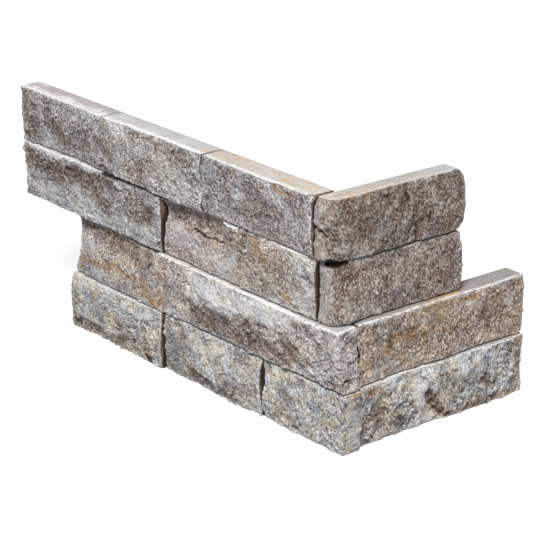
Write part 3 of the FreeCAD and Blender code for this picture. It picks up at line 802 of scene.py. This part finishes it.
    def grain(self, points):
        """Height of the broken grain, about 0."""
        drawn = points / np.array([1, 1, self.stone.streak])
        broken = sum(height * broken_noise(drawn, size, self.seed + seed)
                     for height, size, seed in BROKEN_GRAIN)
        height, size, seed = SMOOTH_GRAIN
        return self.stone.rough * (broken + height * smooth_noise(drawn, size, self.seed + seed))

    def texture(self, points, tones):
        """Height of the broken texture over the relief: rough and low where dark, cut in at cracks."""
        rough = 1 + 0.6 * tones["dark"] - 0.2 * tones["pale"]
        dents = 0.5 * tones["dark"] + 1.7 * tones["crack"] + INWARD
        return rough * self.grain(points) + 0.25 * tones["pale"] - dents

    def edge_breaks(self, points, edge):
        """Depth of the small breaks along the arris, where edge is the way from it."""
        broad = smooth_noise(points, 14.0, self.seed + 40)
        broad = broad + 0.7 * broken_noise(points, 4.5, self.seed + 41)
        fine = smooth_noise(points, 2.0, self.seed + 48)
        depth = BREAK_DEPTH * np.clip(broad - BREAK_RARE, 0, 1) + NIBBLE * (fine + 0.3)
        return depth * np.exp(-(edge / BREAK_REACH) ** 2)

    def broken_off(self, points):
        """Signed distance to the pieces broken out of the corners, above 0 inside them."""
        out = np.full(len(points), -FAR)
        world = points @ self.turn.T
        uneven, size = CHIP_ROUGH
        for chip in CHIPS.get(self.name, []):
            away = np.linalg.norm((world - np.array(chip.middle)) / np.array(chip.size), axis=1)
            edge = 1 - away + uneven * broken_noise(points, size, self.seed + 60)
            out = np.maximum(out, edge * min(chip.size))
        return out

    def field(self, lines):
        """Signed distance to the whole stone's surface on a grid, below 0 inside."""
        u, d, z = np.meshgrid(*lines, indexing="ij", sparse=True)
        sawn = self.sawn(u, d, z)
        face, end = np.broadcast_arrays(*self.split(u, d, z))
        split = soft_max(face, end, self.stone.corner_worn)
        total = soft_max(sawn, split, self.stone.worn)
        near = np.abs(total) < BAND
        points = np.stack([np.broadcast_to(a, total.shape)[near] for a in (u, d, z)], 1)
        sawn, split = sawn[near], split[near]
        tones = self.tones(points, ease(end[near] - face[near], -1, 1))
        on_split = ease(split - sawn, -0.8, 1.0)
        edge = np.maximum(-np.minimum(sawn, split), 0)
        there = total[near] - on_split * self.texture(points, tones)
        there += self.edge_breaks(points, edge) * (points[:, 1] > BACK_EDGE)
        total[near] = np.maximum(there, sawn)
        limit = np.maximum(u - self.reach[0], d - self.reach[1]) + CLEAR
        total = np.maximum(np.maximum(total, self.ends(u)[1]), limit)
        if self.name in CHIPS:
            points = np.stack([np.broadcast_to(a, total.shape).ravel() for a in (u, d, z)], 1)
            total = np.maximum(total, self.broken_off(points).reshape(total.shape))
        return total


def even_lines(low, high):
    """Grid lines so spaced that both ends lie halfway between two of them."""
    count = max(1, round((high - low) / STEP))
    size = (high - low) / count
    return low - size / 2 + size * np.arange(-MARGIN_LINES, count + 1 + MARGIN_LINES)


def depth_lines(body):
    """Grid lines outwards from the sawn back: wide apart in the solid, fine at the split face."""
    coarse = np.arange(0.5 * BACK_STEP, body.face.lowest() - FINE_DEPTH, BACK_STEP)
    start = coarse[-1] if len(coarse) else 0.5 * BACK_STEP
    fine = np.arange(start + STEP, body.high[1] + MARGIN_LINES * STEP, STEP)
    return np.concatenate([[-0.5 * BACK_STEP], coarse, fine])


def surface_net(values, lines):
    """Vertices and four-sided faces of the surface where the values change sign."""
    inside = values < 0
    cells = np.array(values.shape) - 1
    total = np.zeros((cells.prod(), 3))
    count = np.zeros(cells.prod())
    quads = []
    for axis in range(3):
        first = np.take(values, range(cells[axis]), axis)
        second = np.take(values, range(1, cells[axis] + 1), axis)
        found = np.argwhere((first < 0) != (second < 0))
        a, b = first[tuple(found.T)], second[tuple(found.T)]
        crossing = np.stack([lines[i][found[:, i]] for i in range(3)], 1)
        gap = lines[axis][found[:, axis] + 1] - crossing[:, axis]
        crossing[:, axis] += gap * a / (a - b)
        ring = []
        for one, two in ((-1, -1), (0, -1), (0, 0), (-1, 0)):
            cell = found.copy()
            cell[:, (axis + 1) % 3] += one
            cell[:, (axis + 2) % 3] += two
            index = np.ravel_multi_index(cell.T, cells)
            for i in range(3):
                total[:, i] += np.bincount(index, crossing[:, i], len(total))
            count += np.bincount(index, minlength=len(total))
            ring.append(index)
        ring = np.stack(ring, 1)
        leaving = inside[tuple(found.T)]
        ring[~leaving] = ring[~leaving][:, ::-1]
        quads.append(ring)
    used = count > 0
    renamed = np.cumsum(used) - 1
    return total[used] / count[used, None], renamed[np.concatenate(quads)]


def largest_part(vertices, quads):
    """Drops crumbs that the texture has cut off from the stone."""
    label = np.arange(len(vertices))
    while True:
        lowest = label[quads].min(1)
        before = label.copy()
        for i in range(4):
            np.minimum.at(label, quads[:, i], lowest)
        label = label[label]
        if (label == before).all():
            break
    kept = label == np.bincount(label).argmax()
    renamed = np.cumsum(kept) - 1
    return vertices[kept], renamed[quads[kept[quads[:, 0]]]]


def joint_side(body, u, sawn, split):
    """Where a point lies on an end that glue hides."""
    free, tight = body.ends(u)
    at_joint = np.maximum(u - body.high[0], tight) if body.end is None else tight
    if not body.outer_low:
        at_joint = np.maximum(at_joint, free)
    return (at_joint > sawn - 0.4) & (at_joint > split - 0.2)


def attributes(body, points):
    """What the material reads of the shape: where it is split, how near the arris, and the marks."""
    u, d, z = points.T
    sawn = body.sawn(u, d, z)
    face, end = body.split(u, d, z)
    split = np.maximum(face, end)
    edge = np.maximum(-np.minimum(sawn, split), 0)
    chipped = ease(body.broken_off(points), -0.5, -0.1)
    # Painted shade along the lower arris: full on the long leg above the base, half on the base stones,
    # none on the other stones of the short leg
    bed_shade = 0.5 if body.name.startswith("base") else 1.0 - body.along_y
    values = {
        # Share of painted shade deep in an open joint
        "deep": body.depth_in_joint(d, z),
        "under": bed_shade * ease(z - body.low[2], 1.4, 0.5),
        "split": np.maximum(ease(split - sawn, -0.6, 0.3), chipped),
        "edge": np.clip(edge / EDGE_WIDTH, 0, 1),
        "joint": joint_side(body, u, sawn, split),
        # Height of the grain, for painted shade in its hollows and painted highlight on its peaks
        "height": np.clip(0.5 + 0.6 * body.grain(points), 0, 1),
    }
    values.update(body.tones(points, ease(end - face, -1, 1)))
    # Chips that open a gap between two stones are filled with painted shade
    if body.name in SHADED_CHIPS:
        values["crack"] = np.maximum(values["crack"], chipped)
    return values


def make_bodies():
    """All stones, with the tight joints noted on both sides."""
    bodies = {name: Body(name) for name in STONES}
    for left, right in TIGHT_JOINTS:
        bodies[left].meet(bodies[right], 1)
        bodies[right].meet(bodies[left], 0)
    bodies["third_side_stone"].meet_corner(bodies["third_corner_stone"])
    for left, right in OPEN_JOINTS:
        bodies[left].right = bodies[right]
    return bodies


def make_stone(body):
    """The finer stone that stands for a CAD node."""
    name = body.name
    lines = [even_lines(body.low[0], body.high[0]),
             depth_lines(body),
             even_lines(body.low[2], body.high[2])]
    points, quads = largest_part(*surface_net(body.field(lines), lines))
    if not body.along_y:
        quads = quads[:, ::-1]
    mesh = bpy.data.meshes.new(name + "_split")
    mesh.from_pydata((points @ body.turn.T * MM).tolist(), [], quads.tolist())
    for key, values in attributes(body, points).items():
        attribute = mesh.attributes.new(key, "FLOAT", "POINT")
        attribute.data.foreach_set("value", np.asarray(values, np.float32))
    mesh.materials.append(stone_material(name, body.along_y))
    mesh.shade_smooth()
    mesh.update()
    piece = bpy.data.objects.new(name + "_split", mesh)
    bpy.context.scene.collection.objects.link(piece)
    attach(piece, "root")
    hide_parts(name)


class Tree:
    """Short calls for building a material's nodes."""

    def __init__(self, name):
        self.material = bpy.data.materials.new(name)
        self.material.use_nodes = True
        self.tree = self.material.node_tree
        self.tree.nodes.clear()
        self.place = self.add("ShaderNodeTexCoord").outputs["Object"]

    def add(self, kind, inputs=None, **settings):
        """A node, with its settings and its inputs: a socket is linked, anything else is set."""
        node = self.tree.nodes.new(kind)
        for key, value in settings.items():
            setattr(node, key, value)
        for key, value in (inputs or {}).items():
            if isinstance(value, bpy.types.NodeSocket):
                self.tree.links.new(value, node.inputs[key])
            else:
                node.inputs[key].default_value = value
        return node

    def attribute(self, name):
        return self.add("ShaderNodeAttribute", attribute_name=name).outputs["Fac"]

    def stretched(self, scale):
        """The place, squeezed along its axes."""
        return self.add("ShaderNodeMapping", {"Vector": self.place, "Scale": scale}).outputs["Vector"]

    def leaning(self, along_y, streak):
        """The place, stretched along the lean of the broken grain on a stone's long face."""
        turn, stretch = ((LEAN, 0, 0), (1, 1, streak)) if along_y else ((0, LEAN, 0), (streak, 1, 1))
        inputs = {"Vector": self.place, "Rotation": turn, "Scale": stretch}
        return self.add("ShaderNodeMapping", inputs, vector_type="TEXTURE").outputs["Vector"]

    def noise(self, size, detail=2.0, roughness=0.5, place=None):
        """Noise with swells of the given size in millimetres."""
        inputs = {"Vector": place or self.place, "Scale": 1 / (size * MM), "Detail": detail,
                  "Roughness": roughness}
        return self.add("ShaderNodeTexNoise", inputs).outputs["Fac"]

    def cells(self, size):
        """A random number for each crystal of the given size in millimetres."""
        colour = self.add("ShaderNodeTexVoronoi", {"Vector": self.place, "Scale": 1 / (size * MM)})
        return self.add("ShaderNodeSeparateColor", {"Color": colour.outputs["Color"]}).outputs["Red"]

    def span(self, value, low, high, start=0.0, end=1.0):
        """Maps low..high onto start..end and keeps inside it."""
        inputs = {"Value": value, "From Min": low, "From Max": high, "To Min": start, "To Max": end}
        return self.add("ShaderNodeMapRange", inputs).outputs["Result"]

    def scaled(self, value, start, end):
        """Maps 0..1 onto start..end."""
        return self.span(value, 0, 1, start, end)

    def math(self, operation, first, second):
        return self.add("ShaderNodeMath", {0: first, 1: second}, operation=operation).outputs[0]

    def times(self, first, second):
        return self.math("MULTIPLY", first, second)

    def mix(self, factor, first, second, blend="MIX"):
        """Two colours mixed by a factor."""
        values = {0: factor, 6: as_colour(first), 7: as_colour(second)}
        return self.add("ShaderNodeMix", values, data_type="RGBA", blend_type=blend).outputs[2]

    def threads(self, size, width, place):
        """1 on the wandering lines where noise crosses its middle, 0 beside them."""
        off = self.math("ABSOLUTE", self.math("SUBTRACT", self.noise(size, 3, 0.6, place), 0.5), 0)
        return self.span(off, 0.3 * width, width, 1, 0)

    def ragged(self, tone, uneven):
        """Share of a mark's tone, broken up by uneven noise."""
        return self.span(self.times(self.attribute(tone), uneven), 0.10, 0.40, 0.0, MARK_MOST)

    def grey(self, value):
        """A value as a colour, which may be above 1."""
        inputs = dict.fromkeys(("Red", "Green", "Blue"), value)
        return self.add("ShaderNodeCombineColor", inputs).outputs["Color"]

    def bump(self, height, strength, distance):
        """A normal that follows a height, with its distance in millimetres."""
        inputs = {"Height": height, "Strength": strength, "Distance": distance * MM}
        return self.add("ShaderNodeBump", inputs).outputs["Normal"]

    def finish(self, **inputs):
        """Ends the tree in a principled shader and an output."""
        named = {key.replace("_", " "): value for key, value in inputs.items()}
        shader = self.add("ShaderNodeBsdfPrincipled", named)
        self.add("ShaderNodeOutputMaterial", {"Surface": shader.outputs[0]})
        return self.material


def as_colour(value):
    """A colour with its alpha, or a socket as it is."""
    if isinstance(value, bpy.types.NodeSocket):
        return value
    return (*value, 1.0)


# Colours are linear
RUST = (0.56, 0.315, 0.11)
# Pale of the bruises and pale marks, also used as painted highlight on the grain's peaks and along the
# arris
PALE = (0.88, 0.875, 0.87)
# Near-white of the pale veins, also used as painted highlight on ridges
VEIN_AND_HIGHLIGHT = (0.95, 0.95, 0.96)
BLUE = (0.27, 0.32, 0.41)
# Brown of the dark marks: stains, and painted shade under overhangs and in hollows
STAIN_AND_SHADE = (0.155, 0.086, 0.050)
# Dark brown of the pits and dark threads, also used as painted shade in the hollows of the grain
PIT_AND_SHADE = (0.080, 0.048, 0.031)
# Near-black painted shade for cracks, joint lines, chip gaps, the deep part of open joints and the
# lower arris
PAINTED_SHADE = (0.032, 0.020, 0.013)
JOINT_DARK = (0.078, 0.052, 0.033)
JOINT_PALE = (0.215, 0.165, 0.115)
RESIN_DARK = (0.145, 0.115, 0.083)
RESIN_PALE = (0.22, 0.18, 0.13)
RESIN_GRIT = (0.12, 0.10, 0.085)
FLOOR_GREY = (0.36, 0.36, 0.36)
WHITE = (1, 1, 1)

# Tints are factors on another colour. VARIED is how strongly the warm and cool ones vary a kind
# of stone, against the usual stone.
WARM_TINT = (1.045, 0.995, 0.91)
COOL_TINT = (0.97, 1.00, 1.05)
GLINT_TINT = (0.98, 1.00, 1.03)
SAWN_TINT = (0.92, 0.84, 0.78)
VARIED = {"stone_blue": 2.3, "stone_rust": 1.6, "stone_grey": 1.2}

# Share of the pale band along the arris, bruises and painted highlight, where a kind of stone shows
# less of it
BRUISE_AND_HIGHLIGHT = {"stone_brown": 0.3, "stone_blue": 0.7}

# Lean of the grain, and the largest share of a mark's tone
LEAN = math.radians(20)
MARK_MOST = 0.85

# How much brighter than the stone its crystals and painted glints are, and the brightest tone they get
GLINT = 1.85
GLINT_MOST = 0.97

# Width of the strip along the arris that the edge attribute covers
EDGE_WIDTH = 6.0


def mottled(tree, stone, drawn, cloud):
    """The broken stone's own tones: broad drifts, clouds and dark patches."""
    broad = tree.span(tree.noise(34, 3), 0.38, 0.62)
    colour = tree.mix(broad, stone.light, stone.warm)
    colour = tree.mix(1.0, colour, tree.grey(tree.scaled(cloud, 0.70, 1.14)), "MULTIPLY")
    patches = tree.span(tree.noise(11, 7, 0.66, drawn), 0.47, 0.60)
    return tree.mix(tree.times(patches, 0.74), colour, stone.dark)


def marked(tree, stone, colour, drawn, clean):
    """Adds the marks, with the dark grain that pale marks cover, and painted shade along the lower
    arris.
    """
    uneven = tree.noise(4.0, 5, 0.7, drawn)
    # Pale marks: partly pale veins, partly painted highlight on ridges
    for tone, paint in (("blue", BLUE), ("rust", RUST), ("pale", VEIN_AND_HIGHLIGHT)):
        colour = tree.mix(tree.ragged(tone, uneven), colour, paint)
    grain = tree.times(tree.span(tree.noise(2.6, 6, 0.8, drawn), 0.50, 0.58), clean)
    colour = tree.mix(tree.times(grain, 0.55), colour, stone.dark)
    # Dark marks: partly stains, partly painted shade under overhangs and in hollows
    colour = tree.mix(tree.ragged("dark", uneven), colour, STAIN_AND_SHADE)
    # Painted shade along the lower arris
    under = tree.times(tree.attribute("under"), tree.span(uneven, 0.35, 0.5, 0.5, 0.95))
    return tree.mix(under, colour, PAINTED_SHADE)


def painted_relief_light(tree, colour):
    """Painted shade in the hollows of the grain and painted highlight on its peaks."""
    height = tree.attribute("height")
    colour = tree.mix(tree.times(tree.span(height, 0.42, 0.10), 0.5), colour, PIT_AND_SHADE)
    return tree.mix(tree.times(tree.span(height, 0.60, 0.90), 0.4), colour, PALE)


def tinted(tree, stone, colour):
    """Warm and cool drifts, and rust flecks."""
    strength = VARIED.get(stone.slot, 1.0)
    warm, cool = (tuple(1 + strength * (c - 1) for c in tint) for tint in (WARM_TINT, COOL_TINT))
    tint = tree.mix(tree.span(tree.noise(11, 6, 0.7), 0.42, 0.58), warm, cool)
    colour = tree.mix(1.0, colour, tint, "MULTIPLY")
    fleck = tree.span(tree.noise(2.4, 4, 0.7), 0.60, 0.68, 0.0, 0.8 * stone.fleck)
    return tree.mix(fleck, colour, RUST)


def crystalline(tree, stone, colour, drawn, cloud, clean):
    """Pale and dark threads, bright crystals that are partly painted glints, and dark pits between
    them.
    """
    brighter = min(GLINT, GLINT_MOST / max(stone.light))
    glint = tuple(brighter * tone * tint for tone, tint in zip(stone.light, GLINT_TINT))
    colour = tree.mix(tree.times(tree.threads(6.0, 0.018, drawn), 0.3), colour, glint)
    colour = tree.mix(tree.times(tree.threads(7.5, 0.014, drawn), 0.35), colour, PIT_AND_SHADE)
    # Bright flakes: pale crystals, partly painted glints
    flakes = tree.noise(0.95, 2, 0.8, drawn)
    shiny = tree.times(tree.span(flakes, 0.512, 0.588), tree.scaled(cloud, 0.50, 0.95))
    for tone, least in (("dark", 0.4), ("rust", 0.45), ("blue", 0.55)):
        shiny = tree.times(shiny, tree.scaled(tree.attribute(tone), 1, least))
    colour = tree.mix(shiny, colour, glint)
    pitted = tree.times(tree.span(flakes, 0.488, 0.398), tree.scaled(cloud, 0.95, 0.70))
    return tree.mix(tree.times(pitted, clean), colour, PIT_AND_SHADE)


def split_colour(tree, stone, along_y):
    """Colour of the broken stone."""
    drawn = tree.leaning(along_y, 1.5 * stone.streak)
    cloud = tree.span(tree.noise(19, 4, 0.6, drawn), 0.40, 0.60)
    clean = tree.scaled(tree.attribute("pale"), 1, 0.35)
    colour = mottled(tree, stone, drawn, cloud)
    colour = marked(tree, stone, colour, drawn, clean)
    # Painted shade in the grain's hollows and painted highlight on its peaks
    colour = tinted(tree, stone, painted_relief_light(tree, colour))
    return crystalline(tree, stone, colour, drawn, cloud, clean)


def sawn_colour(tree, stone, along_y):
    """Colour of the sawn planes: paler, finely speckled, with faint marks of the saw."""
    warmer = tuple(c * f for c, f in zip(stone.sawn, SAWN_TINT))
    cloud = tree.span(tree.noise(16, 4, 0.6), 0.42, 0.62)
    colour = tree.mix(tree.times(cloud, 0.7), stone.sawn, warmer)
    speckle = tree.span(tree.noise(1.3, 4, 0.75), 0.46, 0.60)
    colour = tree.mix(tree.times(speckle, 0.40), colour, stone.dark)
    along_leg = tree.stretched((1, 0.03, 1) if along_y else (0.03, 1, 1))
    marks = tree.span(tree.noise(1.1, 2, 0.5, along_leg), 0.45, 0.7)
    colour = tree.mix(tree.times(marks, 0.10), colour, stone.dark)
    uneven = tree.span(tree.noise(2.6, 4, 0.7), 0.40, 0.58, 0.1, 1.0)
    for tone, paint in (("pale", PALE), ("rust", RUST)):
        colour = tree.mix(tree.times(tree.attribute(tone), uneven), colour, paint)
    joint = tree.mix(tree.span(tree.noise(2.8, 4, 0.7), 0.40, 0.62), JOINT_PALE, JOINT_DARK)
    # Painted shade deeper in the open joint, behind the next stone's face
    joint = tree.mix(tree.attribute("deep"), joint, PAINTED_SHADE)
    return tree.mix(tree.attribute("joint"), colour, joint)


def bruises_and_highlight(tree, stone, split):
    """Share of the pale band along the arris, partly bruised crystals and partly painted highlight on
    the rounded arris, which ends in glue have none of.
    """
    most = BRUISE_AND_HIGHLIGHT.get(stone.slot, 1.0)
    near_edge = tree.span(tree.attribute("edge"), 0.50, 0.10)
    share = tree.times(near_edge, tree.span(tree.noise(3.0, 4, 0.65), 0.38, 0.50))
    share = tree.times(share, tree.scaled(split, 0.90 * most, 0.35 * most))
    return tree.times(share, tree.scaled(tree.attribute("joint"), 1, 0))


def stone_material(name, along_y):
    """One stone's material."""
    stone = STONES[name]
    tree = Tree(name.replace("_stone", "_rock"))
    split = tree.attribute("split")
    colour = tree.mix(split, sawn_colour(tree, stone, along_y), split_colour(tree, stone, along_y))
    # Pale band along the arris: bruises, and partly painted highlight
    colour = tree.mix(bruises_and_highlight(tree, stone, split), colour, PALE)
    # Cracks and joint lines are filled with painted shade
    hole = tree.math("MAXIMUM", tree.attribute("crack"), tree.attribute("gap"))
    colour = tree.mix(hole, colour, PAINTED_SHADE)
    grit = tree.noise(2.2, 6, 0.80, tree.leaning(along_y, 1.3 * stone.streak))
    return tree.finish(Base_Color=colour, Specular_IOR_Level=0.25,
                       Roughness=tree.span(tree.cells(0.9), 0.8, 0.95, 0.85, 0.5),
                       Normal=tree.bump(grit, tree.scaled(split, 0.25, 1.0), 2.2))


def resin_material():
    """Cured adhesive: dull grey-brown, with grit in it and a slightly uneven skin."""
    tree = Tree("joint_resin")
    cloud = tree.span(tree.noise(6, 4, 0.6), 0.35, 0.65)
    grit = tree.times(tree.span(tree.cells(0.7), 0.8, 0.9), 0.4)
    colour = tree.mix(grit, tree.mix(cloud, RESIN_DARK, RESIN_PALE), RESIN_GRIT)
    return tree.finish(Base_Color=colour, Roughness=tree.scaled(cloud, 0.45, 0.7),
                       Normal=tree.bump(tree.noise(1.6, 3, 0.6), 0.5, 0.6))


# Studio, in metres: the even light from all round, the floor and its glow to the camera, and
# one soft lamp
WORLD_LEVEL = 0.24
FLOOR_GLOW = 0.82
FLOOR_SIZE = 12
FLOOR_DROP = 0.0002
LAMP_DIRECTION = (0.46, -0.48, 0.75)
LAMP_DISTANCE = 2.2
LAMP_SIZE = 0.6
LAMP_LEVEL = 1.24


def seen_rays(nodes, links):
    """1 for the rays by which the camera sees the background, straight, mirrored or through glass."""
    sight = nodes.new("ShaderNodeLightPath")
    total = sight.outputs["Is Camera Ray"]
    for name in ("Is Glossy Ray", "Is Transmission Ray"):
        larger = nodes.new("ShaderNodeMath")
        larger.operation = "MAXIMUM"
        links.new(total, larger.inputs[0])
        links.new(sight.outputs[name], larger.inputs[1])
        total = larger.outputs[0]
    return total


def floor_material():
    """Pale floor: it carries the object's shadow and shows white to the camera."""
    tree = Tree("pale_floor")
    glow = tree.times(seen_rays(tree.tree.nodes, tree.tree.links), FLOOR_GLOW)
    shade = tree.add("ShaderNodeBsdfDiffuse", {"Color": as_colour(FLOOR_GREY)})
    lift = tree.add("ShaderNodeEmission", {"Color": as_colour(WHITE), "Strength": glow})
    both = tree.add("ShaderNodeAddShader", {0: shade.outputs[0], 1: lift.outputs[0]})
    tree.add("ShaderNodeOutputMaterial", {"Surface": both.outputs[0]})
    return tree.material


def make_floor():
    """A wide plane under the object."""
    bpy.ops.mesh.primitive_plane_add(size=FLOOR_SIZE, location=(0, 0, -FLOOR_DROP))
    floor = bpy.context.object
    floor.name = "floor"
    floor.data.materials.append(floor_material())


def make_world():
    """Even white light from all round, white to the camera."""
    world = bpy.data.worlds.new("studio")
    bpy.context.scene.world = world
    world.use_nodes = True
    nodes, links = world.node_tree.nodes, world.node_tree.links
    background = nodes["Background"]
    background.inputs["Color"].default_value = as_colour(WHITE)
    level = nodes.new("ShaderNodeMapRange")
    level.inputs["To Min"].default_value = WORLD_LEVEL
    level.inputs["To Max"].default_value = 1.0
    links.new(seen_rays(nodes, links), level.inputs["Value"])
    links.new(level.outputs["Result"], background.inputs["Strength"])


def make_lamp():
    """A square soft lamp; its level is how bright it alone shows a white card that faces it."""
    data = bpy.data.lights.new("key", "AREA")
    data.size = LAMP_SIZE
    data.energy = LAMP_LEVEL * (math.pi * LAMP_DISTANCE) ** 2
    lamp = bpy.data.objects.new("key", data)
    bpy.context.scene.collection.objects.link(lamp)
    towards = Vector(LAMP_DIRECTION).normalized()
    lamp.location = (cad_low + cad_high) / 2 + towards * LAMP_DISTANCE
    lamp.rotation_euler = towards.to_track_quat("Z", "Y").to_euler()


# Camera, in metres and degrees, fitted to the outline of the piece in the photograph
CAMERA_PLACE = (0.85822, -0.71400, 0.51075)
CAMERA_AZIMUTH = 52.16
CAMERA_ELEVATION = 20.06
CAMERA_ROLL = -0.6
CAMERA_LENS = 141.4
CAMERA_SENSOR = 36


def make_camera():
    """The photograph's camera."""
    azimuth, elevation, roll = map(math.radians, (CAMERA_AZIMUTH, CAMERA_ELEVATION, CAMERA_ROLL))
    back = Vector((math.sin(azimuth) * math.cos(elevation), -math.cos(azimuth) * math.cos(elevation),
                   math.sin(elevation)))
    level = Vector((0, 0, 1)).cross(back).normalized()
    upright = back.cross(level)
    right = level * math.cos(roll) + upright * math.sin(roll)
    up = upright * math.cos(roll) - level * math.sin(roll)
    data = bpy.data.cameras.new("camera")
    data.lens = CAMERA_LENS
    data.sensor_width = CAMERA_SENSOR
    camera = bpy.data.objects.new("camera", data)
    turn = Matrix((right, up, back)).transposed().to_4x4()
    camera.matrix_world = Matrix.Translation(CAMERA_PLACE) @ turn
    bpy.context.scene.collection.objects.link(camera)
    bpy.context.scene.camera = camera


def main():
    bpy.context.scene.view_settings.view_transform = "Standard"
    for body in make_bodies().values():
        make_stone(body)
    resin = resin_material()
    for name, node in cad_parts.items():
        if name.endswith("_resin"):
            node.data.materials.clear()
            node.data.materials.append(resin)
    make_floor()
    make_world()
    make_lamp()
    make_camera()


main()
